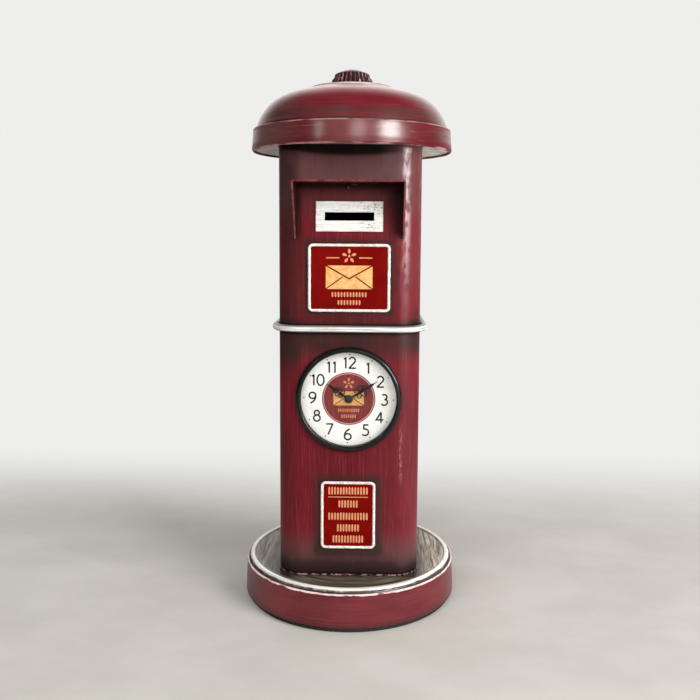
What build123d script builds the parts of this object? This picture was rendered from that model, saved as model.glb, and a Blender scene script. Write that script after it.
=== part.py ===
from build123d import *
from math import acos, atan2, copysign, cos, hypot, pi, radians, sin, sqrt, tan
import os

# Table-top pillar box in painted tin: a square column on a round pan base, a domed
# lift-off lid, a coin slot under a hood, two framed plates, a rod ring and a
# push-in quartz clock. Millimetres. The origin is the centre of the foot on the
# table, +Z is up and the front faces -Y.

# ---- driving dimensions -------------------------------------------------------
sheet = 1.0               # thickness of the painted tin

foot_radius = 65.2
foot_height = 3.0
base_radius = 66.0        # side wall of the pan, at its top
base_flare = 0.8          # how far the wall spreads towards its open bottom
base_wall_top = 23.0
base_top = 24.6           # flat top that the column stands on
bead_radius = 62.4        # centre line of the rolled bead round the top
bead_size = 1.7

column_width = 84.0
column_corner = 14.5
column_bottom = base_top
column_top = 285.0

lid_bottom = 278.5
rim_bottom_radius = 61.4
rim_top_radius = 60.6
rim_top = 291.8
dome_foot_radius = 58.6
shoulder_end_radius = 41.3
shoulder_end_height = 311.9
crown_height = 319.15
lid_travel_clearance = 0.35

disc_radius = 25.0
disc_thickness = 0.9
knob_radius = 12.6
knob_height = 8.9
knob_base = crown_height + disc_thickness
knob_ribs = 27
screw_radius = 2.0
washer_radius = 5.0
washer_thickness = 1.0

hood_width = 63.4
hood_top = 258.5
hood_bottom = 226.0
hood_reach = 19.0

slot_height_z = 238.8
slot_width = 28.4
slot_gap = 4.8
slot_plate_width = 38.6
slot_plate_height = 17.2
plate_thickness = 0.9

name_plate = (48.0, 39.8, 203.5)       # width, height, height of its centre
notice_plate = (32.8, 41.5, 62.1)
plate_frame_width = 2.0
plate_frame_depth = 1.8
plate_corner = 2.4

ring_rod = 4.1
ring_z = 173.9

clock_z = 132.2
bezel_radius = 31.2
dial_window = 28.0
clock_hole_radius = 30.0
insert_radius = 29.2
minute_hand_reach = 20.4
hour_hand_reach = 15.7
minute_hand_angle = 58.0  # clockwise from twelve, about ten past ten
hour_hand_angle = 305.0

running_gap = 0.05        # radial clearance of every shaft in its hole
half = column_width / 2


# ---- helpers ------------------------------------------------------------------
def closed_face(*edges):
    """Planar face inside a closed chain of edges."""
    return make_face(Curve() + list(edges))


def turned(*outline):
    """Solid of revolution about Z from corners (radius, height)."""
    corners = [(radius, 0, height) for radius, height in outline]
    return revolve(make_face(Polyline(*corners, close=True)), Axis.Z, 360)


def tube(outer, inner, low, high):
    """Round tube between two heights."""
    return turned((inner, low), (outer, low), (outer, high), (inner, high))


def rod(radius, low, high, x=0, y=0):
    """Round bar along Z."""
    return Pos(x, y, low) * Cylinder(radius, high - low, align=(Align.CENTER, Align.CENTER, Align.MIN))


def slab(width, depth, low, high, x=0, y=0):
    """Rectangular block between two heights."""
    return Pos(x, y, low) * Box(width, depth, high - low, align=(Align.CENTER, Align.CENTER, Align.MIN))


def rounded_bar(width, depth, corner, low, high):
    """Square-section bar with rounded upright corners."""
    return Pos(0, 0, low) * extrude(RectangleRounded(width, depth, corner), high - low)


def on_front(x, z, depth):
    """Place for something drawn facing the viewer, a given distance in front of the column's axis."""
    return Pos(x, -depth, z) * Rot(90, 0, 0)


def polar(distance, direction, start=(0, 0)):
    """Point at a distance and a direction in degrees from a start point."""
    return (
        start[0] + distance * cos(radians(direction)),
        start[1] + distance * sin(radians(direction)),
    )


def save(node, shape):
    """Write one sub-part, keeping all of its separate solids."""
    solids = shape.solids()
    whole = solids[0] if len(solids) == 1 else Compound(children=list(solids))
    whole.label = node
    export_step(whole, f"parts/{node}.step")


# ---- base ---------------------------------------------------------------------
def make_foot_pad():
    edge = 0.5           # rounding of the pad's lower rim
    return turned(
        (0, 0), (foot_radius - edge, 0), (foot_radius, edge), (foot_radius, foot_height), (0, foot_height)
    )


def make_base_plate():
    """Disc that closes the underside of the pan, just above the foot pad."""
    return turned(
        (0, foot_height), (base_radius - sheet, foot_height),
        (base_radius - sheet, foot_height + sheet), (0, foot_height + sheet),
    )


def make_base_pan():
    """Spun pan: flat top, rolled bead, small shoulder and a slightly flared side wall."""
    bead_height = base_top - 0.6
    bead_inner = bead_radius - bead_size
    bead_outer = bead_radius + bead_size
    bottom = foot_height + 0.1
    outer = [
        Line((0, 0, base_top), (bead_inner, 0, base_top)),
        ThreePointArc(
            (bead_inner, 0, base_top),
            (bead_radius - 0.2, 0, bead_height + bead_size),
            (bead_outer, 0, bead_height - 0.4),
        ),
        Polyline(
            (bead_outer, 0, bead_height - 0.4),
            (bead_outer + 0.3, 0, base_wall_top - 0.2),
            (base_radius - 0.5, 0, base_wall_top + 0.1),
            (base_radius, 0, base_wall_top - 0.4),
            (base_radius + base_flare, 0, bottom),
            (base_radius + base_flare - sheet, 0, bottom),
            (base_radius - sheet, 0, base_wall_top - sheet),
            (bead_radius, 0, base_wall_top - sheet),
            (bead_inner, 0, base_top - sheet),
            (0, 0, base_top - sheet),
            (0, 0, base_top),
        ),
    ]
    return revolve(closed_face(*outer), Axis.Z, 360)


def make_weld_beads():
    """Short solder runs at the foot of the column, two at each rounded corner."""
    corner_centre = half - column_corner
    beads = Part()
    for corner in (45, 135, 225, 315):
        for swing in (-19, 19):
            middle = (
                copysign(corner_centre, cos(radians(corner))),
                copysign(corner_centre, sin(radians(corner))),
            )
            x, y = polar(column_corner + 0.55, corner + swing, middle)
            bead = Box(1.1, 3.6, 1.3, align=(Align.CENTER, Align.CENTER, Align.MIN))
            beads += Pos(x, y, base_top) * Rot(0, 0, corner + swing) * bead
    return beads - rounded_bar(column_width, column_width, column_corner, 0, column_top)


# ---- column -------------------------------------------------------------------
def make_column():
    """Bent tin tube with a lapped seam down the back, the coin slot and the clock hole."""
    outer = rounded_bar(column_width, column_width, column_corner, column_bottom, column_top)
    inside = column_width - 2 * sheet
    hollow = rounded_bar(inside, inside, column_corner - sheet, column_bottom, column_top)
    seam = Pos(0, half + 0.3, column_bottom) * Box(
        9, 0.6, column_top - column_bottom - 8, align=(Align.CENTER, Align.CENTER, Align.MIN)
    )
    slot = Pos(0, -half, slot_height_z) * Box(slot_width, 4 * sheet, slot_gap)
    hole = on_front(0, clock_z, half + 2 * sheet) * Cylinder(clock_hole_radius, 8 * sheet)
    return outer + seam - hollow - slot - hole


def make_hood():
    """Bent hood over the slot: a flat top and two cheeks that taper away downwards."""
    drop = hood_top - hood_bottom
    cheeks = make_face(Polyline(
        (0, -half, hood_bottom), (0, -half - 1.0, hood_bottom), (0, -half - hood_reach, hood_top - 2.0),
        (0, -half - hood_reach, hood_top), (0, -half, hood_top), close=True,
    ))
    block = Pos(-hood_width / 2, 0, 0) * extrude(cheeks, amount=hood_width, dir=(1, 0, 0))
    block = fillet(block.edges().filter_by(Axis.Y).group_by(Axis.Z)[-1], 1.8)
    hollow = Pos(0, -half - hood_reach / 2, hood_top - sheet - drop / 2 - 5) * Box(
        hood_width - 2 * sheet, 2 * hood_reach, drop + 10
    )
    return block - hollow


def make_slot_plate():
    plate = Pos(0, -half - plate_thickness / 2, slot_height_z) * Box(
        slot_plate_width, plate_thickness, slot_plate_height
    )
    return plate - Pos(0, -half, slot_height_z) * Box(slot_width, 6, slot_gap)


def make_plate_frame(width, height, centre):
    """Raised frame of rounded section round a printed plate."""
    outline = RectangleRounded(width, height, plate_corner)
    window = RectangleRounded(
        width - 2 * plate_frame_width, height - 2 * plate_frame_width, plate_corner - plate_frame_width + 1.0
    )
    frame = extrude(outline - window, plate_frame_depth)
    frame = chamfer(frame.faces().sort_by(Axis.Z)[-1].outer_wire().edges(), 0.6)
    return on_front(0, centre, half) * frame


def make_plate_panel(width, height, centre):
    """Flat printed panel inside the frame."""
    inner_width = width - 2 * plate_frame_width - 0.1
    inner_height = height - 2 * plate_frame_width - 0.1
    panel = extrude(RectangleRounded(inner_width, inner_height, 1.4), 0.7)
    return on_front(0, centre, half) * panel


def make_band_ring():
    """Round rod bent to the column's section, closed by a weld at the back."""
    offset = ring_rod / 2 + 0.05
    path = Pos(0, 0, ring_z) * RectangleRounded(
        column_width + 2 * offset, column_width + 2 * offset, column_corner + offset
    ).wire()
    start = path @ 0
    profile = Plane(origin=start, z_dir=path % 0) * Circle(ring_rod / 2)
    ring = sweep(profile, path=path)
    relief = Pos(0, half + 0.35, ring_z) * Box(9.2, 0.8, ring_rod)
    return ring - relief


# ---- lid ----------------------------------------------------------------------
crown_radius = (shoulder_end_radius**2 + (crown_height - shoulder_end_height) ** 2) / (
    2 * (crown_height - shoulder_end_height)
)
crown_centre = crown_height - crown_radius


def dome_outline(inset):
    """The dome's shoulder and crown arcs, moved inwards by the given distance."""
    normal = (shoulder_end_radius / crown_radius, (shoulder_end_height - crown_centre) / crown_radius)
    across = dome_foot_radius - shoulder_end_radius
    down = rim_top - shoulder_end_height
    shoulder = -(across**2 + down**2) / (2 * (across * normal[0] + down * normal[1]))
    centre = (shoulder_end_radius - shoulder * normal[0], shoulder_end_height - shoulder * normal[1])
    start = atan2(rim_top - centre[1], dome_foot_radius - centre[0])
    end = atan2(normal[1], normal[0])
    size = shoulder - inset

    def on_shoulder(angle):
        return (centre[0] + size * cos(angle), 0, centre[1] + size * sin(angle))

    def on_crown(angle):
        return ((crown_radius - inset) * cos(angle), 0, crown_centre + (crown_radius - inset) * sin(angle))

    return [
        ThreePointArc(on_shoulder(start), on_shoulder((start + end) / 2), on_shoulder(end)),
        ThreePointArc(on_crown(end), on_crown((end + pi / 2) / 2), on_crown(pi / 2)),
    ]


def make_lid_dome():
    """Spun shell: an upright rim band with a crisp top edge, then the dome."""
    outer = dome_outline(0)
    inner = dome_outline(sheet)
    outer_start = outer[0] @ 0
    inner_start = inner[0] @ 0
    outer_top = outer[1] @ 1
    inner_top = inner[1] @ 1
    band = Polyline(
        outer_start,
        (dome_foot_radius, 0, rim_top - 0.5),
        (rim_top_radius - 0.5, 0, rim_top),
        (rim_top_radius, 0, rim_top - 0.5),
        (rim_bottom_radius, 0, lid_bottom + 1.0),
        (rim_bottom_radius - 0.6, 0, lid_bottom),
        (rim_bottom_radius - sheet - 0.5, 0, lid_bottom),
        (rim_bottom_radius - sheet - 0.5, 0, lid_bottom + 1.0),
        (rim_top_radius - sheet - 0.5, 0, rim_top - sheet - 0.6),
        (inner_start.X, 0, rim_top - sheet - 0.6),
        inner_start,
    )
    face = closed_face(band, *inner, Line(inner_top, outer_top), *outer)
    return revolve(face, Axis.Z, 360) - rod(screw_radius + 0.2, crown_height - 5, crown_height + 5)


def make_lid_underside():
    """Flat ring that closes the underside of the lid round the collar."""
    plate = rod(rim_bottom_radius - sheet - 0.6, lid_bottom + 1.1, lid_bottom + 1.1 + sheet)
    opening = column_width + 1.2
    return plate - rounded_bar(opening, opening, column_corner + 0.6, lid_bottom, rim_top)


def make_lid_collar():
    """Square collar inside the column's mouth, with a turned-out flange that rests on the column."""
    outside = column_width - 2 * sheet - 2 * lid_travel_clearance
    corner = column_corner - sheet - lid_travel_clearance
    collar = rounded_bar(outside, outside, corner, column_top - 14, column_top)
    flange_width = column_width + 8
    flange = rounded_bar(flange_width, flange_width, column_corner + 4, column_top, column_top + sheet)
    inside = outside - 2 * sheet
    return collar + flange - rounded_bar(inside, inside, corner - sheet, column_top - 20, column_top + 5)


def make_collar_brackets():
    """Four bent straps that tie the collar's flange to the inside of the rim band."""
    straps = Part()
    low = column_top + sheet
    high = low + sheet
    reach = rim_top_radius - sheet - 0.6
    for turn in (0, 90, 180, 270):
        strap = slab(reach - 40.5, 12, low, high, x=(reach + 40.5) / 2)
        straps += Rot(0, 0, turn) * strap
    return straps & rod(reach - 0.1, low, high)


def make_top_disc():
    """Thin dished disc between the dome and the knob."""
    gap = 0.02
    low = crown_radius + gap
    high = crown_radius + disc_thickness
    edge = acos(disc_radius / low)
    edge_high = acos(disc_radius / high)
    middle = (edge + pi / 2) / 2
    lower = ThreePointArc(
        (low * cos(edge), 0, crown_centre + low * sin(edge)),
        (low * cos(middle), 0, crown_centre + low * sin(middle)),
        (0, 0, crown_centre + low),
    )
    upper = ThreePointArc(
        (high * cos(edge_high), 0, crown_centre + high * sin(edge_high)),
        (high * cos(middle), 0, crown_centre + high * sin(middle)),
        (0, 0, crown_centre + high),
    )
    face = closed_face(lower, upper, Line(lower @ 1, upper @ 1), Line(lower @ 0, upper @ 0))
    return revolve(face, Axis.Z, 360) - rod(screw_radius + 0.2, crown_height - 5, crown_height + 5)


def make_knob():
    """Low turned knob with upright ribs and a domed top, hollowed below to sit on the disc."""
    foot = knob_base - 1.0
    waist = knob_base + 1.6
    brow = knob_radius * 0.79
    brow_height = knob_base + 6.1
    rise = knob_height - 6.1
    cap_radius = (brow**2 + rise**2) / (2 * rise)
    cap_centre = knob_base + knob_height - cap_radius
    shoulder = (brow, 0, brow_height)
    top = (0, 0, knob_base + knob_height)
    middle = (brow / 2, 0, cap_centre + sqrt(cap_radius**2 - (brow / 2) ** 2))
    profile = [
        Polyline((0, 0, foot), (knob_radius, 0, foot), (knob_radius, 0, waist)),
        ThreePointArc((knob_radius, 0, waist), (knob_radius * 0.945, 0, knob_base + 4.0), shoulder),
        ThreePointArc(shoulder, middle, top),
        Line(top, (0, 0, foot)),
    ]
    turned_knob = revolve(closed_face(*profile), Axis.Z, 360)
    pitch = 360 / knob_ribs
    crest = knob_radius + 1.5
    valley = knob_radius - 0.9
    star = []
    for rib in range(knob_ribs):
        for share, radius in ((-0.32, valley), (-0.12, crest), (0.12, crest), (0.32, valley)):
            star.append(polar(radius, pitch * (rib + share)))
    ribs = Pos(0, 0, foot) * extrude(make_face(Polyline(*star, close=True)), 12, taper=12)
    crown = Pos(0, 0, crown_centre) * Sphere(crown_radius + disc_thickness + 0.02)
    return (turned_knob & ribs) - crown - rod(screw_radius, foot - 1, knob_base + 5.6)


# The washer's rim just clears the inside of the crown, which curves down around it.
washer_bottom = crown_centre + sqrt((crown_radius - sheet) ** 2 - washer_radius**2) - washer_thickness - 0.2


def make_knob_screw():
    """Screw up through the crown into the knob, with its head under the washer."""
    head = rod(3.6, washer_bottom - 2.2, washer_bottom)
    shank = rod(screw_radius, washer_bottom, knob_base + 5.5)
    deep = washer_bottom - 1.2
    cross = slab(4.2, 0.8, deep - 1.1, deep) + slab(0.8, 4.2, deep - 1.1, deep)
    return head + shank - cross


def make_knob_washer():
    return tube(washer_radius, screw_radius + 0.2, washer_bottom, washer_bottom + washer_thickness)


# ---- clock --------------------------------------------------------------------
# The clock is drawn facing up +Z about its own centre and then turned to face -Y, so its
# heights below are distances in front of the column's axis. The column's face is at half.
clock_place = Pos(0, 0, clock_z) * Rot(90, 0, 0)

housing_end = 28.0
housing_back = 29.2      # inside of the housing's back wall
case_back = 30.4         # inside of the movement's back wall
bridge_back = 35.1
bridge_front = 35.9
case_front = 39.0        # inside of the movement's front wall
dial_back = 40.2
dial_front = 40.6
flange_front = 43.0      # front of the housing's flange, where the lens sits
lens_front = 44.2
bezel_brow = 44.8        # outer edge of the bezel's rounded front
bezel_front = 45.4
bezel_mouth = 44.6       # inner edge of the bezel's rounded front

case_radius = 25.5
movement_wall = 1.0
dial_radius = 28.2
lens_radius = 28.6
flange_radius = 30.4

# Lowest and highest level of each piece of the movement and the hands.
rotor_pinion_level = (30.65, 31.65)
step_wheel_level = (30.8, 31.5)
magnet_level = (32.0, 33.4)
stator_level = (32.2, 33.2)
step_pinion_level = (33.7, 34.85)
centre_wheel_level = (34.0, 34.7)
contact_level = (34.72, 34.97)
cannon_level = (36.2, 37.7)
setting_gear_level = (36.7, 37.6)
minute_wheel_level = (36.8, 37.5)
minute_pinion_level = (37.5, 38.85)
hour_wheel_level = (38.0, 38.8)
hour_hand_level = (41.15, 41.4)
minute_hand_level = (41.65, 41.9)
arbor_back = 29.9        # back end of the centre arbor and of the rotor's hole
arbor_front = 41.9
hand_cap_top = 42.7
rotor_back = 30.0
rotor_front = 35.4
board_back = 34.5
stem_back = 25.4
stem_front = 38.0
knob_back = 24.8
knob_front = 27.8

# Radii of the shafts, and of the plain hubs that turn on studs.
centre_arbor = 0.6
cannon_pipe = 1.05
hour_pipe = 1.8
stud = 0.5
pivot = 0.3
stem = 1.2
hub = 0.85

# Gear sizes: tooth counts and modules.
cannon_teeth = 10
minute_teeth = 30
minute_pinion_teeth = 8
hour_teeth = 32
setting_teeth = 12
centre_teeth = 60
step_pinion_teeth = 8
step_teeth = 48
rotor_teeth = 6
coarse = 0.3
fine = 0.25

minute_direction = 60.0
setting_direction = 60.0
step_direction = 200.0
rotor_direction = 270.0
minute_distance = coarse * (cannon_teeth + minute_teeth) / 2
setting_distance = coarse * (minute_teeth + setting_teeth) / 2
step_distance = coarse * (centre_teeth + step_pinion_teeth) / 2
rotor_distance = fine * (step_teeth + rotor_teeth) / 2

minute_axis = polar(minute_distance, minute_direction)
setting_axis = polar(setting_distance, setting_direction, minute_axis)
step_axis = polar(step_distance, step_direction)
rotor_axis = polar(rotor_distance, rotor_direction, step_axis)


def mesh_turn(driver_turn, driver_teeth, teeth, direction):
    """Turn of a gear whose gap meets the driver's tooth on the line between their centres."""
    pitch = 360 / driver_teeth
    offset = (driver_turn - direction + pitch / 2) % pitch - pitch / 2
    return direction + 180 - (offset * driver_teeth + 180) / teeth


def gear(teeth, module, level, turn=0, centre=(0, 0)):
    """Spur gear with involute flanks, thinned a little for backlash."""
    pitch_radius = module * teeth / 2
    base_circle = pitch_radius * cos(radians(20))
    tip = pitch_radius + 0.75 * module
    root = pitch_radius - 1.15 * module
    backlash = 0.16 * module / pitch_radius
    half_tooth = pi / (2 * teeth) - backlash

    def roll(radius):
        angle = acos(min(1.0, base_circle / radius))
        return tan(angle) - angle

    def flank(radius):
        return half_tooth + roll(pitch_radius) - roll(max(radius, base_circle))

    start = max(root, base_circle)
    radii = [root] + [start + (tip - start) * k / 3 for k in range(4)]
    points = []
    for tooth in range(teeth):
        middle = radians(turn) + 2 * pi * tooth / teeth
        for radius in radii:
            points.append((radius * cos(middle - flank(radius)), radius * sin(middle - flank(radius))))
        for radius in reversed(radii):
            points.append((radius * cos(middle + flank(radius)), radius * sin(middle + flank(radius))))
    distinct = [points[0]]
    for point in points[1:]:
        if hypot(point[0] - distinct[-1][0], point[1] - distinct[-1][1]) > 1e-4:
            distinct.append(point)
    low, high = level
    face = make_face(Polyline(*distinct, close=True))
    return Pos(centre[0], centre[1], low) * extrude(face, high - low)


minute_turn = mesh_turn(0, cannon_teeth, minute_teeth, minute_direction)
minute_pinion_turn = minute_direction + 180
hour_turn = mesh_turn(minute_pinion_turn, minute_pinion_teeth, hour_teeth, minute_direction + 180)
setting_turn = mesh_turn(minute_turn, minute_teeth, setting_teeth, setting_direction)
step_pinion_turn = mesh_turn(0, centre_teeth, step_pinion_teeth, step_direction)
step_turn = rotor_direction
rotor_turn = mesh_turn(step_turn, step_teeth, rotor_teeth, rotor_direction)

post_radius = 1.6
post_screw = 0.7
post_places = [polar(22.3, angle) for angle in (95, 215, 325)]
battery_place = (16.0, -4.0)
battery_radius = 5.8
battery_depth = 5.4
battery_cover_radius = 6.85
coil_place = (-2.5, -17.8)
coil_length = 14.4


def make_bezel():
    """Rolled ring: a rounded front, with a seat behind it for the lens and the flange."""
    crest = 29.3
    seat_radius = lens_radius + 0.05
    outline = [
        Line((bezel_radius, 0, half), (bezel_radius, 0, flange_front + 0.4)),
        ThreePointArc((bezel_radius, 0, flange_front + 0.4), (30.6, 0, bezel_brow), (crest, 0, bezel_front)),
        ThreePointArc((crest, 0, bezel_front), (28.4, 0, bezel_front - 0.2), (dial_window, 0, bezel_mouth)),
        Polyline(
            (dial_window, 0, bezel_mouth), (dial_window, 0, lens_front), (seat_radius, 0, lens_front),
            (seat_radius, 0, flange_front), (flange_radius, 0, flange_front), (flange_radius, 0, half),
            (bezel_radius, 0, half),
        ),
    ]
    return revolve(closed_face(*outline), Axis.Z, 360)


def make_lens():
    return rod(lens_radius, flange_front, lens_front)


def make_dial():
    return tube(dial_radius, 2.2, dial_back, dial_front)


def make_housing():
    """Plastic cup of the insert: flange, dial seat, wall and back with its two holes."""
    flange = flange_radius - running_gap
    well = case_radius + 0.1
    cup = turned(
        (0, housing_end), (insert_radius, housing_end), (insert_radius, half), (flange, half),
        (flange, flange_front), (dial_radius + 0.1, flange_front), (dial_radius + 0.1, dial_back),
        (well, dial_back), (well, housing_back), (0, housing_back),
    )
    battery_door = rod(battery_cover_radius + 0.1, housing_end - 1, housing_back + 1, *battery_place)
    stem_hole = rod(stem + 0.15, housing_end - 1, housing_back + 1, *setting_axis)
    return cup - battery_door - stem_hole


def make_fit_ring():
    """Soft ring round the housing that grips the hole, with two small ribs."""
    body = 29.7
    rib = 29.95
    front = half - 0.1
    return turned(
        (insert_radius, 33.0), (body, 33.0), (body, 35.0), (rib, 35.4), (rib, 36.4), (body, 36.8),
        (body, 38.0), (rib, 38.4), (rib, front), (insert_radius, front),
    )


def make_front_case():
    """Front half of the movement case, with posts for the case screws."""
    inside = case_radius - movement_wall
    shell = turned(
        (0, case_front), (inside, case_front), (inside, case_back),
        (case_radius, case_back), (case_radius, dial_back), (0, dial_back),
    )
    shell -= rod(hour_pipe + 0.08, case_front - 1, dial_back + 1)
    for place in post_places:
        shell += rod(post_radius, case_back, case_front, *place)
    for place in post_places:
        shell -= rod(post_screw, case_back - 1, case_back + 4, *place)
    return shell


def make_bridge():
    """Plate between the motion work in front and the step train behind, with the minute wheel's stud."""
    plate = rod(case_radius - movement_wall - 0.05, bridge_back, bridge_front)
    plate -= rod(centre_arbor + 0.05, bridge_back - 1, bridge_front + 1)
    plate -= rod(stem + running_gap, bridge_back - 1, bridge_front + 1, *setting_axis)
    plate -= rod(pivot + running_gap, bridge_back - 1, bridge_back + 0.4, *rotor_axis)
    for place in post_places:
        plate -= rod(post_radius + 0.05, bridge_back - 1, bridge_front + 1, *place)
    return plate + rod(stud, bridge_front, case_front - 0.05, *minute_axis)


def make_back_case():
    """Back plate of the movement, with the step wheel's stud, pivot holes and screw recesses."""
    plate = rod(case_radius, housing_back, case_back)
    plate -= rod(centre_arbor + 0.05, arbor_back - 0.1, case_back + 1)
    plate -= rod(stem + running_gap, housing_back - 1, case_back + 1, *setting_axis)
    plate -= rod(pivot + running_gap, arbor_back, case_back + 1, *rotor_axis)
    plate -= rod(battery_radius + 0.3, housing_back - 1, case_back + 1, *battery_place)
    for place in post_places:
        plate -= rod(1.5, housing_back - 1, housing_back + 0.7, *place)
        plate -= rod(0.75, housing_back - 1, case_back + 1, *place)
    return plate + rod(stud, case_back, bridge_back - 0.15, *step_axis)


def make_case_screws():
    screws = Part()
    for place in post_places:
        head = rod(1.4, housing_back + 0.05, housing_back + 0.7, *place)
        slot = slab(2.8, 0.4, housing_back, housing_back + 0.35, *place)
        screws += head - slot + rod(post_screw, housing_back + 0.7, case_back + 3.6, *place)
    return screws


def make_centre_wheel():
    """Centre wheel on the arbor that carries the minute hand."""
    wheel = gear(centre_teeth, coarse, centre_wheel_level)
    low, high = centre_wheel_level
    for i in range(5):
        wheel -= rod(1.9, low - 1, high + 1, *polar(5.2, 36 + 72 * i))
    return wheel + rod(1.4, low - 0.4, low) + rod(centre_arbor, arbor_back, arbor_front)


def make_cannon_pinion():
    low, high = cannon_level
    pinion = gear(cannon_teeth, coarse, cannon_level) + rod(cannon_pipe, low - 0.2, arbor_front)
    return pinion - rod(centre_arbor, low - 1, arbor_front + 1)


def make_minute_wheel():
    """Minute wheel and its pinion, turning on the bridge's stud."""
    wheel = gear(minute_teeth, coarse, minute_wheel_level, minute_turn, minute_axis)
    wheel += gear(minute_pinion_teeth, coarse, minute_pinion_level, minute_pinion_turn, minute_axis)
    wheel += rod(hub, bridge_front + 0.2, minute_pinion_level[1], *minute_axis)
    return wheel - rod(stud + running_gap, bridge_front, case_front, *minute_axis)


def make_hour_wheel():
    low, high = hour_wheel_level
    wheel = gear(hour_teeth, coarse, hour_wheel_level, hour_turn) + rod(hour_pipe, high, hour_hand_level[1])
    return wheel - rod(cannon_pipe + 0.1, low - 1, arbor_front)


def make_setting_stem():
    wheel = gear(setting_teeth, coarse, setting_gear_level, setting_turn, setting_axis)
    return wheel + rod(stem, stem_back, stem_front, *setting_axis)


def make_setting_knob():
    """Finely ribbed knob on the back of the insert, for setting the hands."""
    knob = rod(4.0, knob_back, knob_front, *setting_axis)
    for i in range(24):
        knob -= rod(0.28, knob_back - 1, knob_front + 1, *polar(4.1, 15 * i, setting_axis))
    return knob - rod(stem, stem_back, knob_front + 1, *setting_axis)


def make_step_wheel():
    """Step wheel and pinion between the rotor and the centre wheel."""
    wheel = gear(step_teeth, fine, step_wheel_level, step_turn, step_axis)
    wheel += gear(step_pinion_teeth, coarse, step_pinion_level, step_pinion_turn, step_axis)
    wheel += rod(hub, step_wheel_level[0] - 0.2, step_pinion_level[1], *step_axis)
    return wheel - rod(stud + running_gap, case_back - 0.4, bridge_back, *step_axis)


def make_rotor():
    """Rotor arbor with its pinion."""
    pinion = gear(rotor_teeth, fine, rotor_pinion_level, rotor_turn, rotor_axis)
    return pinion + rod(pivot, rotor_back, rotor_front, *rotor_axis)


def make_rotor_magnet():
    return rod(2.4, *magnet_level, *rotor_axis) - rod(pivot, rotor_back, rotor_front, *rotor_axis)


def make_stator():
    """Flat stator with the rotor's hole and two legs joined by the bar inside the coil."""
    centre, bar = coil_place
    plate = slab(23.0, 8.0, *stator_level, x=centre, y=bar + 7.5)
    for side in (-1, 1):
        plate += slab(3.5, 6.0, *stator_level, x=centre + side * 9.75, y=bar + 1.5)
    plate += slab(20.0, 2.0, *stator_level, x=centre, y=bar)
    return plate - rod(2.9, *magnet_level, *rotor_axis)


def make_coil():
    """Copper winding on the stator's bar, between two flanges."""
    winding = Rot(0, 90, 0) * Cylinder(1.75, coil_length)
    for side in (-1, 1):
        winding += Pos(side * (coil_length / 2 - 0.4), 0, 0) * Rot(0, 90, 0) * Cylinder(2.05, 0.8)
    level = sum(stator_level) / 2
    return Pos(*coil_place, level) * (winding - Box(coil_length + 1, 2.06, 1.06))


def make_circuit_board():
    return slab(8.6, 9.6, board_back, bridge_back, x=-13.9, y=10.4)


def make_driver_chip():
    """Potted chip on the board: a low round blob."""
    blob = turned((0, board_back - 1.0), (1.2, board_back - 0.8), (2.0, board_back), (0, board_back))
    return Pos(-12.4, 8.4, 0) * blob


def make_quartz_crystal():
    """Quartz crystal in its small metal can, lying on the board."""
    can_radius = 1.0
    can = Rot(90, 0, 0) * Cylinder(can_radius, 6.0)
    return Pos(-16.4, 10.6, board_back - can_radius - 0.05) * can


def make_button_cell():
    low = housing_back + 0.05
    crimp = rod(battery_radius, low, low + battery_depth - 0.7, *battery_place)
    return crimp + rod(battery_radius - 0.7, low, low + battery_depth, *battery_place)


def make_battery_contacts():
    """Spring leaf over the cell's face and an upright leaf at its side."""
    x, y = battery_place
    leaf = slab(9.0, 3.0, *contact_level, x=x - 0.4, y=y)
    side = slab(0.3, 5.0, case_back + 0.2, contact_level[0] - 0.12, x=x + battery_radius + 0.35, y=y)
    return leaf + side


def make_battery_cover():
    """Round cover with a coin slot, in the housing's back wall."""
    cover = rod(battery_cover_radius, housing_end, housing_back, *battery_place)
    return cover - slab(9.0, 1.3, housing_end - 1, housing_end + 0.5, *battery_place)


def hand(reach, width, level, hub_hole, angle):
    """Pierced hand: hub, stem with a pair of scrolls each side, and a leaf-shaped point."""
    shaft = Pos(0, reach * 0.42, 0) * Rectangle(width, reach * 0.84)
    tip_base = reach * 0.66
    tip = make_face(Polyline(
        (-width * 0.5, tip_base), (-width * 1.5, tip_base + reach * 0.08), (0, reach),
        (width * 1.5, tip_base + reach * 0.08), (width * 0.5, tip_base), close=True,
    ))
    outline = Circle(2.45) + shaft + tip
    scroll = reach * 0.085
    for side in (-1, 1):
        for along, size in ((0.34, scroll), (0.52, scroll * 0.8)):
            x = side * (width * 0.5 + size * 0.72)
            outline += Pos(x, reach * along) * (Circle(size) - Circle(size - 0.42))
    outline -= Circle(hub_hole)
    low, high = level
    return Rot(0, 0, -angle) * Pos(0, 0, low) * extrude(outline, high - low)


def make_hour_hand():
    return hand(hour_hand_reach, 1.3, hour_hand_level, hour_pipe, hour_hand_angle)


def make_minute_hand():
    return hand(minute_hand_reach, 1.1, minute_hand_level, cannon_pipe, minute_hand_angle)


def make_hand_cap():
    """Round cap pressed over the arbor in front of the minute hand."""
    return turned(
        (0, arbor_front), (2.5, arbor_front), (2.4, arbor_front + 0.35), (1.5, hand_cap_top - 0.1),
        (0, hand_cap_top),
    )


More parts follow.
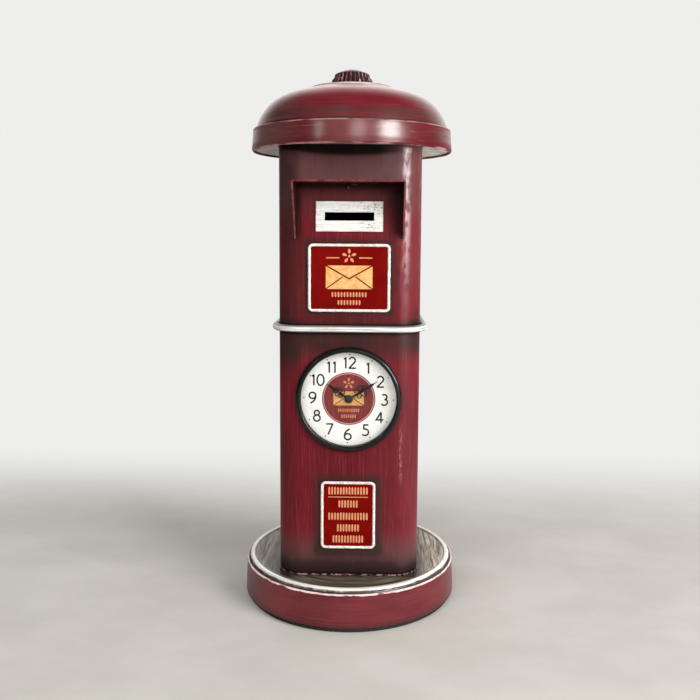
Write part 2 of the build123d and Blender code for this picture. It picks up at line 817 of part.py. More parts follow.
# ---- write every sub-part -----------------------------------------------------
box_makers = {
    "foot_pad": make_foot_pad,
    "base_plate": make_base_plate,
    "base_pan": make_base_pan,
    "base_weld_beads": make_weld_beads,
    "column": make_column,
    "slot_hood": make_hood,
    "slot_plate": make_slot_plate,
    "name_plate_frame": lambda: make_plate_frame(*name_plate),
    "name_plate_panel": lambda: make_plate_panel(*name_plate),
    "notice_plate_frame": lambda: make_plate_frame(*notice_plate),
    "notice_plate_panel": lambda: make_plate_panel(*notice_plate),
    "band_ring": make_band_ring,
    "lid_dome": make_lid_dome,
    "lid_underside": make_lid_underside,
    "lid_collar": make_lid_collar,
    "lid_collar_straps": make_collar_brackets,
    "lid_top_disc": make_top_disc,
    "lid_knob": make_knob,
    "lid_knob_screw": make_knob_screw,
    "lid_knob_washer": make_knob_washer,
}

clock_makers = {
    "clock_bezel": make_bezel,
    "clock_lens": make_lens,
    "clock_dial": make_dial,
    "clock_housing": make_housing,
    "clock_fit_ring": make_fit_ring,
    "movement_front_case": make_front_case,
    "movement_bridge": make_bridge,
    "movement_back_case": make_back_case,
    "movement_screws": make_case_screws,
    "centre_wheel": make_centre_wheel,
    "cannon_pinion": make_cannon_pinion,
    "minute_wheel": make_minute_wheel,
    "hour_wheel": make_hour_wheel,
    "setting_stem": make_setting_stem,
    "setting_knob": make_setting_knob,
    "step_wheel": make_step_wheel,
    "rotor_arbor": make_rotor,
    "rotor_magnet": make_rotor_magnet,
    "stator": make_stator,
    "coil": make_coil,
    "circuit_board": make_circuit_board,
    "driver_chip": make_driver_chip,
    "quartz_crystal": make_quartz_crystal,
    "button_cell": make_button_cell,
    "battery_contacts": make_battery_contacts,
    "battery_cover": make_battery_cover,
    "hour_hand": make_hour_hand,
    "minute_hand": make_minute_hand,
    "hand_cap": make_hand_cap,
}

os.makedirs("parts", exist_ok=True)
for node, maker in box_makers.items():
    save(node, maker())
for node, maker in clock_makers.items():
    save(node, clock_place * maker())
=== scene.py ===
"""Looks for the table-top pillar box: a material for every CAD piece, plus the fine pieces built here."""

import math
import random

import bmesh
import bpy
from mathutils import Matrix, Vector, noise


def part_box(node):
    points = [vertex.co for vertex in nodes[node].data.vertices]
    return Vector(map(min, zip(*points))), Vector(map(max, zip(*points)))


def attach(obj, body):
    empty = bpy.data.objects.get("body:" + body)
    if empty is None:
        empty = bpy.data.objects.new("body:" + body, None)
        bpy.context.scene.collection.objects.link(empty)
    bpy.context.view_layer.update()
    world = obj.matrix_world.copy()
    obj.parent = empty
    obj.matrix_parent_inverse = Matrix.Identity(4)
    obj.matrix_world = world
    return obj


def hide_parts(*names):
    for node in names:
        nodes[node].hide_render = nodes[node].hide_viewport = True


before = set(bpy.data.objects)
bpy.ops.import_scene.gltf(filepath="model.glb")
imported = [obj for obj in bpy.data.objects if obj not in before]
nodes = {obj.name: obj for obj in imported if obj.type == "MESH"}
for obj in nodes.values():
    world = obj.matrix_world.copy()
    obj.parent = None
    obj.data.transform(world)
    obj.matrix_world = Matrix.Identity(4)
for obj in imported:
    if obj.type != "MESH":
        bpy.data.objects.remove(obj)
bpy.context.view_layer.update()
MM = 0.001
random.seed(11)


# ---- places taken from the frame ----
def middle(node):
    low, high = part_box(node)
    return (low + high) / 2


def half_size(node):
    low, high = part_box(node)
    return (high - low) / 2


column_half = half_size("column").x
column_corner = 14.5 * MM
bezel = middle("clock_bezel")
ring = middle("band_ring")
name_plate = middle("name_plate_frame")
notice_plate = middle("notice_plate_frame")
dial_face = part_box("clock_dial")[0].y
base_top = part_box("base_weld_beads")[0].z
hood_low, hood_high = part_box("slot_hood")
lid_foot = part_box("lid_dome")[0].z
rim_top = lid_foot + 13.3 * MM
disc_radius = half_size("lid_top_disc").x
disc_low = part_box("lid_top_disc")[0].z


# ---- material helpers ----
def srgb(*screen):
    """Linear colour from three screen values of 0 to 255."""
    shares = [value / 255 for value in screen]
    return (*[s / 12.92 if s <= 0.04045 else ((s + 0.055) / 1.055) ** 2.4 for s in shares], 1.0)


def feed(socket, value):
    """Links a socket to a value, or sets it to a plain number or colour."""
    if isinstance(value, Value):
        value.tree.links.new(value.socket, socket)
    else:
        socket.default_value = value


def new_value(tree, kind, inputs, output=0, **settings):
    """Value that a new node gives, with its inputs by name or number."""
    node = tree.nodes.new("ShaderNode" + kind)
    for name, setting in settings.items():
        setattr(node, name, setting)
    for name, value in inputs.items():
        feed(node.inputs[name], value)
    return Value(tree, node.outputs[output])


def split_axes(place):
    """The three numbers of a place."""
    node = place.tree.nodes.new("ShaderNodeSeparateXYZ")
    feed(node.inputs[0], place)
    return [Value(place.tree, socket) for socket in node.outputs]


class Value:
    """A number, place, colour or shader that a node gives. Arithmetic with it adds nodes to its tree."""

    def __init__(self, tree, socket):
        self.tree = tree
        self.socket = socket

    def math(self, operation, first, second=0.0, clamp=False):
        return new_value(self.tree, "Math", {0: first, 1: second}, operation=operation, use_clamp=clamp)

    def __add__(self, other):
        return self.math("ADD", self, other)

    __radd__ = __add__

    def __sub__(self, other):
        return self.math("SUBTRACT", self, other)

    def __rsub__(self, other):
        return self.math("SUBTRACT", other, self)

    def __mul__(self, other):
        return self.math("MULTIPLY", self, other)

    __rmul__ = __mul__

    def __neg__(self):
        return self * -1.0

    def __abs__(self):
        return self.math("ABSOLUTE", self)

    def sine(self):
        return self.math("SINE", self)

    def cosine(self):
        return self.math("COSINE", self)

    def capped_times(self, other):
        """Product, kept between 0 and 1."""
        return self.math("MULTIPLY", self, other, clamp=True)

    def rise(self, low, high, start=0.0, end=1.0):
        """Smooth step from start at low to end at high."""
        steps = {"Value": self, "From Min": low, "From Max": high, "To Min": start, "To Max": end}
        return new_value(self.tree, "MapRange", steps, interpolation_type="SMOOTHSTEP")

    def fall(self, low, high):
        """Smooth step from 1 at low to 0 at high."""
        return 1 - self.rise(low, high)

    def band(self, low, high, soft):
        """1 between low and high, fading over soft outside."""
        return self.rise(low - soft, low) * self.fall(high, high + soft)


def most(first, *others):
    """The largest of the values; the first is a Value."""
    for other in others:
        first = first.math("MAXIMUM", first, other)
    return first


def length(across, up):
    """Distance from zero, given its two parts."""
    squares = across * across + up * up
    return squares.math("SQRT", squares)


def mix_shaders(share, first, second):
    """The first shader where the share is 0, the second where it is 1."""
    return new_value(share.tree, "MixShader", {0: share, 1: first, 2: second})


class Look:
    """A node material, with short calls for the nodes that these looks need. Sizes are in metres."""

    def __init__(self, name):
        self.material = bpy.data.materials.new(name)
        self.material.use_nodes = True
        self.tree = self.material.node_tree
        self.tree.nodes.clear()
        self.surface = self.tree.nodes.new("ShaderNodeOutputMaterial").inputs["Surface"]
        self.place = new_value(self.tree, "TexCoord", {}, "Object")
        self.axes = split_axes(self.place)
        self.x, self.y, self.z = self.axes

    def angle(self):
        """Angle round the upright axis, in radians."""
        return self.x.math("ARCTAN2", self.y, self.x)

    def turned_place(self, radius):
        """Coordinates along a round wall, radially and upwards, for grain that follows the turn."""
        parts = {0: self.angle() * radius, 1: length(self.x, self.y), 2: self.z}
        return new_value(self.tree, "CombineXYZ", parts)

    def grain(self, size, detail=3, rough=0.55, shift=0.0, place=None):
        """Noise from 0 to 1 with features of the given size along X, Y and Z, or one size along all."""
        sizes = size if isinstance(size, tuple) else (size,) * 3
        moved = new_value(self.tree, "Mapping", {
            "Vector": place or self.place, "Location": (shift, shift * 0.7, shift * 1.3),
            "Scale": tuple(1 / value for value in sizes),
        })
        return new_value(self.tree, "TexNoise", {
            "Vector": moved, "Scale": 1.0, "Detail": detail, "Roughness": rough,
        })

    def mix(self, share, first, second):
        """Colour from the first to the second, which are Values or screen colours, as the share rises."""
        pair = [value if isinstance(value, Value) else srgb(*value) for value in (first, second)]
        return new_value(self.tree, "Mix", {0: share, 6: pair[0], 7: pair[1]}, 2, data_type="RGBA")

    def bump(self, height, depth, strength=1.0, under=None):
        """Surface direction with a relief of the given depth, over another relief if there is one."""
        inputs = {"Height": height, "Distance": depth, "Strength": strength}
        if under:
            inputs["Normal"] = under
        return new_value(self.tree, "Bump", inputs)

    def coat(self, colour, rough, metal=0.0, coat=0.0, coat_rough=0.12, normal=None, spec=0.5):
        """Puts the surface together and gives the finished material."""
        inputs = {
            "Base Color": colour, "Roughness": rough, "Metallic": metal, "Coat Weight": coat,
            "Coat Roughness": coat_rough, "Specular IOR Level": spec,
        }
        if normal:
            inputs["Normal"] = normal
        feed(self.surface, new_value(self.tree, "BsdfPrincipled", inputs))
        return self.material


# ---- painted looks ----
CRIMSON = (112, 22, 34)
BURGUNDY = (86, 17, 26)
# Pale haze: dust and painted sheen. Smoke: antiquing and painted shade. Soot: near-black painted shade.
DUST_AND_SHEEN = (104, 74, 74)
SMOKE_AND_SHADE = (46, 32, 30)
SHADE_BLACK = (14, 9, 8)
BLUSH = (205, 150, 150)
PALE_BLUSH = (222, 190, 188)
SILVER = (226, 222, 216)
TAUPE = (216, 200, 176)
DARK_TAUPE = (48, 38, 31)


def painted(
    look, smoke_and_shade, wear_and_sheen, streaks, worn=BLUSH, dust_and_sheen=0.0, painted_shade=0.0, gloss=0.85, gloss_rough=0.13, roll=None
):
    """Satin burgundy over tin: haze is dust and painted sheen, smoke is antiquing and painted shade, soot
    is painted shade.
    """
    clouds = look.grain((0.05, 0.05, 0.07), detail=4)
    red = look.mix(clouds.rise(0.3, 0.7), BURGUNDY, CRIMSON)
    red = look.mix(streaks.rise(0.5, 0.75) * 0.3, red, (160, 66, 74))
    red = look.mix(streaks.fall(0.3, 0.5) * 0.35, red, (70, 14, 20))
    red = look.mix(dust_and_sheen, red, DUST_AND_SHEEN)
    red = look.mix(smoke_and_shade.capped_times(0.9), red, SMOKE_AND_SHADE)
    red = look.mix(painted_shade, red, SHADE_BLACK)
    # wear is dry-brushed light paint, in places painted highlights and painted reflections
    red = look.mix(wear_and_sheen, red, worn)
    ripple = look.grain((0.035, 0.035, 0.05), detail=1, shift=3.0)
    dents = look.grain((0.0035, 0.0035, 0.007), shift=6.0)
    normal = look.bump(ripple, 0.0009, 0.35)
    if roll:
        normal = look.bump(roll, 0.0008, 1.0, under=normal)
    normal = look.bump(dents, 0.0003, 0.4, under=normal)
    normal = look.bump(streaks, 0.00006, 0.6, under=normal)
    rough = 0.45 + streaks * 0.16 + wear_and_sheen * 0.25
    # soot is painted shade, so it takes away the gloss
    varnish = (1 - painted_shade) * gloss
    return look.coat(red, rough, coat=varnish, coat_rough=gloss_rough, normal=normal, spec=0.05)


def halo(look, node, reach):
    """Darkening round a plate on the front face, from 1 at its edge to 0 at reach."""
    centre = middle(node)
    half = half_size(node)
    across = most(abs(look.x - centre.x) - half.x, 0.0)
    up = most(abs(look.z - centre.z) - half.z, 0.0)
    return length(across, up).fall(0.0, reach)


def column_soot(look, sheltered):
    """Painted shade, near-black: under the lid, in the hood, behind the ring and at the foot."""
    x, z = look.x, look.z
    arched = z - x * x * 2.4
    # painted shadow under the lid, arched to follow the rim
    under_lid = arched.rise(lid_foot - 0.0066, lid_foot - 0.0036) * x.fall(0.016, 0.036) * 0.95
    cheeks = most(
        abs(x).rise(hood_high.x - 0.007, hood_high.x - 0.001) * 0.5,
        x.rise(hood_high.x - 0.015, hood_high.x - 0.003) * 0.8,
    )
    # painted shade inside the hood, deepest on the right cheek, away from the light
    in_hood = most(
        z.rise(hood_high.z - 0.0075, hood_high.z - 0.0015) * 0.9,
        z.rise(hood_high.z - 0.014, hood_high.z - 0.004) * 0.2,
        cheeks * z.rise(hood_low.z - 0.003, hood_low.z + 0.004),
    )
    behind_ring = z.band(ring.z - 0.0026, ring.z + 0.002, 0.0016) * 0.7
    crevice = z.band(base_top + 0.001, base_top + 0.0018, 0.0007) * 0.85
    foot = z.fall(base_top + 0.002, base_top + 0.011) * 0.5
    return most(under_lid, in_hood * sheltered, behind_ring, crevice, foot)


def column_wear(look, front, corner, streaks):
    """Light paint along the foot's joint, and painted reflections in a streak right of the clock and on the
    left corner.
    """
    x, z = look.x, look.z
    joint = z.fall(base_top + 0.0006, base_top + 0.0011)
    specks = look.grain(0.003, detail=2, shift=5.0)
    flecks = look.grain((0.001, 0.001, 0.004), detail=4, shift=8.0).rise(0.42, 0.62)
    # faint streak right of the clock: painted reflection
    reflection_streak = x.band(0.0306, 0.0312, 0.001) * z.band(0.09, 0.108, 0.012) * flecks * front
    # pale line along the left corner: painted reflection
    left_edge_reflection = corner * (-x).rise(0.04, 0.042) * streaks.rise(0.45, 0.6)
    return most(joint * specks.rise(0.45, 0.6) * 0.6, reflection_streak * 0.3, left_edge_reflection * 0.25)


def column_paint():
    """Dust and painted sheen at the top, dust at the foot, smoke and painted shade at the left corner,
    round the plates and below the ring.
    """
    look = Look("column_paint")
    x, y, z = look.axes
    front = (-y).rise(column_half - 0.004, column_half - 0.0006)
    corner = (abs(x) + abs(y)).rise(0.0682, 0.0735)
    broken = 0.55 + look.grain((0.009, 0.009, 0.014), detail=4, shift=2.0) * 0.9
    under_hood = z.fall(hood_high.z - 0.0004, hood_high.z + 0.0002)
    sheltered = front * abs(x).fall(hood_high.x - 0.001, hood_high.x) * under_hood
    # the top: pale haze that is dust and a painted reflection, and painted shade under the lid
    top = z.rise(ring.z + 0.055, ring.z + 0.082) * (1 - sheltered * 0.6)
    top *= 1 - x.rise(0.027, 0.039) * 0.6
    foot = z.fall(base_top + 0.002, base_top + 0.032)
    # paler on the right, towards the light: painted sheen
    right_sheen = x.rise(0.028, 0.042) * z.rise(ring.z, ring.z + 0.03)
    dust_and_sheen = top * 0.75 + foot * 0.85 + right_sheen * 0.22
    upwards = 0.3 + z.rise(ring.z - 0.04, ring.z - 0.012) * 0.7
    smoke_and_shade = (
        # left corner darker, away from the light: painted shade
        corner * x.fall(0.0, 0.012) * upwards * 0.65
        # round the plates: smoke and painted shade
        + halo(look, "name_plate_frame", 0.0062) * front * 0.85
        + halo(look, "notice_plate_frame", 0.0068) * front * 0.9
        + top * 0.25
        # under the ring: painted shadow
        + z.band(ring.z - 0.006, ring.z, 0.02) * z.fall(ring.z + 0.001, ring.z + 0.008) * 0.95
        + z.band(ring.z, ring.z + 0.004, 0.016) * x.rise(0.03, 0.041) * 0.55
        # at the foot, next to the base: painted shade
        + foot * (1 - abs(x).rise(0.016, 0.036) * 0.35) * 0.85
        + z.fall(base_top + 0.001, base_top + 0.016) * 0.45
    )
    streaks = look.grain((0.0009, 0.0009, 0.024), detail=4, rough=0.65)
    patchy = look.grain((0.0025, 0.0025, 0.006), detail=4, shift=12.0).rise(0.36, 0.6)
    gloss = 0.4 + z.rise(ring.z, ring.z + 0.04) * (patchy * 0.75 - 0.28)
    return painted(
        look, smoke_and_shade.capped_times(broken), column_wear(look, front, corner, streaks), streaks,
        dust_and_sheen=dust_and_sheen.capped_times(broken), painted_shade=column_soot(look, sheltered),
        gloss=gloss * (0.3 + x.rise(0.0, 0.03) * 0.7), gloss_rough=0.25,
    )


def hood_paint():
    """Painted shade inside and round the joint, with the sheet's cut edge rubbed pink that is also a
    painted highlight.
    """
    look = Look("hood_paint")
    x, y, z = look.axes
    low, high = hood_low, hood_high
    slope = Vector((high.z - 0.002 - low.z, low.y - (high.y - 0.001)))
    normal = Vector((-slope.x, slope.y)).normalized()
    across = (y - low.y) * normal.x + (z - (high.z - 0.002)) * normal.y
    cut = abs(across).fall(0.0002, 0.0007)
    lip = (y - low.y).fall(0.0002, 0.0006)
    edge = most(cut, lip)
    grain = look.grain(0.004)
    # light paint on the cut edge: wear and a painted highlight
    wear_and_sheen = edge * grain.rise(0.3, 0.6) * 0.12
    streaks = look.grain((0.02, 0.0008, 0.0008))
    back = y.rise(-column_half - 0.008, -column_half)
    # darker towards the column: painted shade
    smoke_and_shade = 0.35 + back * 0.5
    # painted shade on the inner faces under the top, deeper on the right cheek, away from the light
    inside = abs(x).fall(high.x - 0.0007, high.x - 0.0004)
    under = z.fall(high.z - 0.0008, high.z - 0.0004)
    right_cheek = x.rise(0.02, 0.03)
    painted_shade = inside * under * (1 - edge) * (0.45 + right_cheek * 0.3)
    return painted(look, smoke_and_shade, wear_and_sheen, streaks, painted_shade=painted_shade)


def lid_paint():
    """Smoke and painted shade at the dome's foot, a light line on the rim's edges, turning marks on the
    band.
    """
    look = Look("lid_paint")
    x, y, z = look.axes
    round_place = look.turned_place(0.06)
    radius = length(x, y)
    streaks = look.grain((0.03, 0.0006, 0.0005), rough=0.6, place=round_place)
    broken = look.grain((0.012, 0.003, 0.003), place=round_place, shift=1.0)
    rim_wall = 59.5 * MM
    on_band = z.fall(rim_top, rim_top + 0.0003)
    # darker at the dome's foot, in the crease above the rim: smoke and painted shade
    foot = (
        z.band(rim_top, rim_top + 0.0007, 0.0016)
        + z.band(rim_top + 0.0045, rim_top + 0.0058, 0.0028) * 0.55
    )
    foot *= 1 - on_band
    crown = radius.fall(disc_radius, disc_radius + 0.012) * 0.3
    # darker on the left, away from the light: painted shade
    side = x.fall(-0.055, -0.012) * (1 - on_band) * 0.4
    clouds = look.grain((0.02, 0.02, 0.012), detail=4, shift=7.0)
    smoke_and_shade = (foot * 0.9 + crown + side + on_band * 0.3) * (0.5 + clouds)
    top_edge = z.band(rim_top - 0.0006, rim_top, 0.0003) * radius.rise(rim_wall - 0.0003, rim_wall + 0.0003)
    low_edge = z.fall(lid_foot + 0.0003, lid_foot + 0.0011) * 0.6
    inside = radius.fall(rim_wall - 0.001, rim_wall) * z.fall(rim_top - 0.003, rim_top - 0.002)
    wear_and_sheen = most(
        top_edge * broken.rise(0.3, 0.6) * 0.5,
        low_edge * broken.rise(0.42, 0.6),
        on_band * streaks.rise(0.56, 0.75) * broken.rise(0.45, 0.6) * 0.3,
        # pale patch at the band's front: painted highlight
        on_band * abs(x).fall(0.004, 0.02) * clouds * 0.12,
        inside * 0.5,
        # paler at the top: dust and painted sheen
        z.rise(disc_low - 0.012, disc_low - 0.002) * clouds,
        # paler at the left edge: painted reflection
        x.fall(-0.061, -0.04) * (1 - on_band) * clouds * 0.6,
    )
    # pale haze on the left is painted reflection; at the foot it is dust
    dust_and_sheen = most(x.fall(-0.06, -0.02) * (0.35 + clouds), foot * clouds.rise(0.25, 0.7) * 0.8)
    roll = z.rise(lid_foot, lid_foot + 0.0045)
    mid_band = z.band(lid_foot + 0.0052, rim_top - 0.0032, 0.0032)
    shine = 0.3 + mid_band * (0.35 + streaks * 0.55)
    gloss = most(on_band * shine, (1 - on_band) * 0.85)
    return painted(look, smoke_and_shade, wear_and_sheen, streaks, dust_and_sheen=dust_and_sheen, gloss=gloss, gloss_rough=0.24, roll=roll)


def disc_paint():
    """Disc on the lid: darker round the knob, silver at its edge that is rubbed paint and a painted
    highlight.
    """
    look = Look("disc_paint")
    radius = length(look.x, look.y)
    streaks = look.grain((0.02, 0.0006, 0.0006), place=look.turned_place(0.02))
    edge = radius.rise(disc_radius - 0.0012, disc_radius - 0.0003)
    near_knob = radius.fall(0.012, 0.018)
    wear_and_sheen = edge * streaks.rise(0.3, 0.6) * 0.6
    return painted(look, 0.35 + near_knob * 0.4, wear_and_sheen, streaks, worn=SILVER, gloss=0.35, gloss_rough=0.3)


def knob_paint():
    """Dark maroon with painted shade in the grooves, and light paint over the rib crests that is rubbed
    paint and a painted highlight.
    """
    look = Look("knob_paint")
    low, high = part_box("lid_knob")
    ribs = 27
    crest = (look.angle() * ribs).cosine()
    outer = length(look.x, look.y).rise(high.x - 0.0042, high.x - 0.0016)
    streaks = look.grain((0.001, 0.001, 0.006))
    rubbed = crest.rise(0.35, 1.0) * outer * streaks.rise(0.4, 0.64) * 0.4
    groove = crest.fall(-0.5, 0.3) * outer
    top_edge = look.z.rise(low.z + 0.0086, low.z + 0.0095)
    wear_and_sheen = most(rubbed, top_edge * streaks.rise(0.5, 0.7) * 0.25)
    return painted(look, 0.7 + groove * 0.5, wear_and_sheen, streaks, worn=PALE_BLUSH, painted_shade=groove * 0.5)


def base_paint():
    """Red side wall, silver rolled bead with a dark outer flank, and a taupe brushed top."""
    look = Look("base_paint")
    x, y, z = look.axes
    radius = length(x, y)
    bead_inside = 60.8 * MM
    bead_outside = 63.8 * MM
    wall_face = 65.0 * MM
    round_place = look.turned_place(0.062)
    streaks = look.grain((0.04, 0.0008, 0.0006), rough=0.6, place=round_place)
    broken = look.grain((0.006, 0.002, 0.002), place=round_place, shift=4.0)
    clouds = look.grain((0.03, 0.03, 0.01), detail=4)
    red = look.mix(clouds.rise(0.3, 0.7), (92, 31, 37), (112, 40, 47))
    red = look.mix(streaks.rise(0.5, 0.8) * 0.25, red, (160, 90, 96))
    # darker at the wall's foot by the floor, and on the left away from the light: painted shade
    smoke_and_shade = z.fall(0.003, 0.008) * 0.5 + x.fall(-0.066, -0.045) * 0.5
    red = look.mix(smoke_and_shade.capped_times(0.4 + clouds), red, SMOKE_AND_SHADE)
    # pale line at the wall's top edge: worn paint and a painted highlight
    uneven = z + (broken - 0.5) * 0.0016
    joint = uneven.band(base_top - 0.0021, base_top - 0.0013, 0.0004)
    joint *= radius.rise(wall_face - 0.0002, wall_face + 0.0004)
    red = look.mix(joint * broken.rise(0.3, 0.5), red, (230, 205, 203))

    dark_flank = look.mix(streaks.rise(0.3, 0.7), (34, 30, 27), (96, 88, 80))
    # silver paint on the bead, its white crest also a painted highlight
    silver = look.mix(streaks.rise(0.35, 0.7), (252, 249, 245), (216, 210, 203))
    strokes = look.grain((0.0012, 0.018, 0.01), detail=5, rough=0.65)
    turned_strokes = look.grain((0.03, 0.0011, 0.01), detail=5, rough=0.65, place=round_place)
    stroke_mix = look.mix(abs(x).rise(0.03, 0.05), turned_strokes, strokes)
    top = look.mix(stroke_mix.rise(0.32, 0.7), DARK_TAUPE, TAUPE)
    # darker on the left and towards the front: painted shade
    dim = most(x.fall(-0.05, 0.03) * 0.7, y.fall(-0.058, -0.036))
    top = look.mix(dim * 0.8, top, DARK_TAUPE)
    from_column = length(most(abs(x) - column_half, 0.0), most(abs(y) - column_half, 0.0))
    # painted shadow of the column on the top, and painted shade in the crease at its foot
    top = look.mix(from_column.fall(0.0, 0.012) * 0.75, top, (40, 30, 26))
    top = look.mix(from_column.fall(0.0003, 0.0022) * 0.5, top, SHADE_BLACK)
    # paler towards the bead: painted light on the top's rise to the bead
    top = look.mix(radius.rise(bead_inside - 0.0033, bead_inside) * 0.3, top, (176, 166, 152))

    wandering = radius + (broken - 0.5) * 0.0006
    colour = look.mix(wandering.rise(bead_inside - 0.0002, bead_inside + 0.0008), top, silver)
    colour = look.mix(wandering.rise(bead_outside - 0.00005, bead_outside + 0.00035), colour, dark_flank)
    wall = most(radius.rise(wall_face, wall_face + 0.0003), z.fall(base_top - 0.0026, base_top - 0.0022))
    colour = look.mix(wall, colour, red)
    bead = radius.band(bead_inside, bead_outside, 0.0006)
    rough = 0.34 + stroke_mix * 0.14 + bead * -0.06
    metal = (1 - wall) * 0.25
    normal = look.bump(streaks, 0.00006, 0.7)
    normal = look.bump(stroke_mix, 0.00008, 0.5, under=normal)
    varnish = 0.08 + wall * 0.3
    return look.coat(colour, rough, metal=metal, coat=varnish, coat_rough=0.1, normal=normal, spec=0.1)


def silver_rod():
    """Silver paint brushed along the rod, painted as white highlight lines with a grey core and painted
    shade above and below.
    """
    look = Look("silver_rod")
    streaks = look.grain((0.02, 0.02, 0.0005), rough=0.6)
    specks = look.grain(0.003, shift=2.0)
    half = half_size("band_ring").z
    up = look.z - ring.z
    silver = look.mix(streaks.rise(0.35, 0.65), (252, 253, 253), (202, 201, 199))
    # grey core between the highlight lines: painted shade
    core = up.band(half * -0.05, half * 0.12, half * 0.16) * streaks.rise(0.3, 0.6)
    # painted shade above and below the round rod, with dark specks of wear
    shade_and_specks = most(abs(up).rise(half * 0.4, half * 0.8), specks.rise(0.58, 0.7) * 0.4, core * 0.55)
    colour = look.mix(shade_and_specks * 0.85, silver, (78, 64, 60))
    normal = look.bump(streaks, 0.00008, 0.7)
    return look.coat(colour, 0.36, metal=0.25, coat=0.15, normal=normal, spec=0.2)


def silver_plate():
    """Silver-white paint on the slot plate, with brush marks, specks of wear and a darker rim."""
    look = Look("silver_plate")
    centre = middle("slot_plate")
    half = half_size("slot_plate")
    brush = look.grain((0.012, 0.001, 0.0007), detail=4, rough=0.65)
    specks = look.grain(0.0009, shift=6.0)
    patches = look.grain((0.008, 0.008, 0.005), shift=9.0)
    white = look.mix(brush.rise(0.35, 0.7), (230, 230, 228), (198, 197, 192))
    rightwards = 0.3 + look.x.rise(0.0, 0.014) * 0.7
    worn = specks.rise(0.52, 0.66) * patches.rise(0.38, 0.58) * rightwards * 0.85
    inset_x = half.x - abs(look.x - centre.x)
    inset_z = half.z - abs(look.z - centre.z)
    inset = inset_x.math("MINIMUM", inset_x, inset_z)
    rim = inset.fall(0.0, 0.0008) * patches.rise(0.4, 0.6) * 0.6
    colour = look.mix(most(worn, rim), white, (112, 106, 92))
    normal = look.bump(brush, 0.00012, 0.7)
    return look.coat(colour, 0.5, metal=0.1, normal=normal, spec=0.1)


def dry_brushed():
    """The plates' raised frames: near white on the crest, dark red at the foot."""
    look = Look("dry_brushed_frame")
    crest = -column_half - 0.0004
    grain = look.grain(0.0022, shift=4.0)
    height = crest - look.y + (grain - 0.5) * 0.0017
    white = look.mix(grain.rise(0.3, 0.7), (246, 238, 234), (206, 186, 180))
    colour = look.mix(height.rise(0.0, 0.0005), (60, 24, 24), white)
    normal = look.bump(grain, 0.0002, 0.5)
    return look.coat(colour, 0.45, coat=0.15, normal=normal, spec=0.15)


def printed_red():
    """Flat bright red print on the plates."""
    look = Look("printed_red")
    fine = look.grain(0.0006, detail=2)
    soft = look.grain(0.012, detail=2, shift=3.0)
    colour = look.mix(soft.rise(0.35, 0.65), (104, 3, 1), (112, 6, 3))
    colour = look.mix(fine.rise(0.5, 0.75) * 0.2, colour, (84, 4, 3))
    normal = look.bump(fine, 0.00002, 0.4)
    return look.coat(colour, 0.6, normal=normal, spec=0.03)


def printed_gold(name, dusty):
    """Gold print, a little uneven; dusty is the share of dusty pink."""
    look = Look(name)
    patches = look.grain(0.003)
    colour = look.mix(patches.rise(0.35, 0.65), (206, 152, 86), (216, 172, 116))
    colour = look.mix(dusty, colour, (196, 104, 94))
    return look.coat(colour, 0.48, spec=0.15)


def dial_print():
    """Off-white aged dial with a red centre disc, its thin ring and fine brush strokes."""
    look = Look("dial_print")
    radius = length(look.x - bezel.x, look.z - bezel.z)
    white_edge = 26.8 * MM
    disc_edge = 15.6 * MM
    thin_ring = 14.95 * MM
    fine = look.grain(0.0008)
    patches = look.grain(0.012, detail=4, shift=5.0)
    white = look.mix(patches.rise(0.35, 0.7), (246, 247, 243), (231, 232, 227))
    white = look.mix(fine.rise(0.55, 0.75) * 0.3, white, (176, 174, 156))
    edge = radius.rise(white_edge, white_edge + 0.0014) * (0.1 + patches)
    white = look.mix(edge * 0.45, white, (150, 146, 130))
    streaks = look.grain((0.0004, 0.0004, 0.006))
    disc = look.mix(streaks.rise(0.35, 0.7), (104, 28, 30), (130, 50, 50))
    line = radius.band(thin_ring - 0.0001, thin_ring + 0.0001, 0.0002) * 0.85
    disc = look.mix(line, disc, (226, 172, 168))
    disc = look.mix(radius.rise(disc_edge - 0.0002, disc_edge + 0.0002) * 0.5, disc, (84, 20, 26))
    colour = look.mix(radius.rise(disc_edge, disc_edge + 0.0003), disc, white)
    return look.coat(colour, 0.55, spec=0.25)


def numeral_ink():
    """Near-black print, worn a little grey in patches."""
    look = Look("numeral_ink")
    patches = look.grain(0.0012)
    worn = look.mix(patches.rise(0.5, 0.8) * 0.35, (26, 29, 30), (96, 100, 100))
    return look.coat(worn, 0.55, spec=0.25)


def bezel_metal():
    """Dark grey painted bezel: soft gloss, rubbed a little lighter along its outer edge."""
    look = Look("bezel_metal")
    outer_edge = half_size("clock_bezel").x
    lens_edge = 28.3 * MM
    radius = length(look.x - bezel.x, look.z - bezel.z)
    grain = look.grain(0.002)
    colour = look.mix(grain.rise(0.3, 0.7), (9, 10, 9), (17, 18, 16))
    rub = radius.rise(outer_edge - 0.0004, outer_edge + 0.0001) * grain.rise(0.45, 0.65) * 0.3
    colour = look.mix(rub, colour, (100, 96, 90))
    colour = look.mix(radius.fall(lens_edge, lens_edge + 0.0004), colour, (16, 16, 16))
    normal = look.bump(grain, 0.00003, 0.4)
    return look.coat(colour, 0.4, coat=0.3, coat_rough=0.12, normal=normal, spec=0.15)


def clear_lens():
    """Thin clear lens: what is behind shows, with a faint reflection over it."""
    look = Look("clear_lens")
    through = new_value(look.tree, "BsdfTransparent", {})
    shine = new_value(look.tree, "BsdfGlossy", {"Roughness": 0.03 + look.grain(0.01, detail=2) * 0.05})
    share = new_value(look.tree, "Fresnel", {"IOR": 1.3}) * 0.35
    feed(look.surface, mix_shaders(share, through, shine))
    return look.material


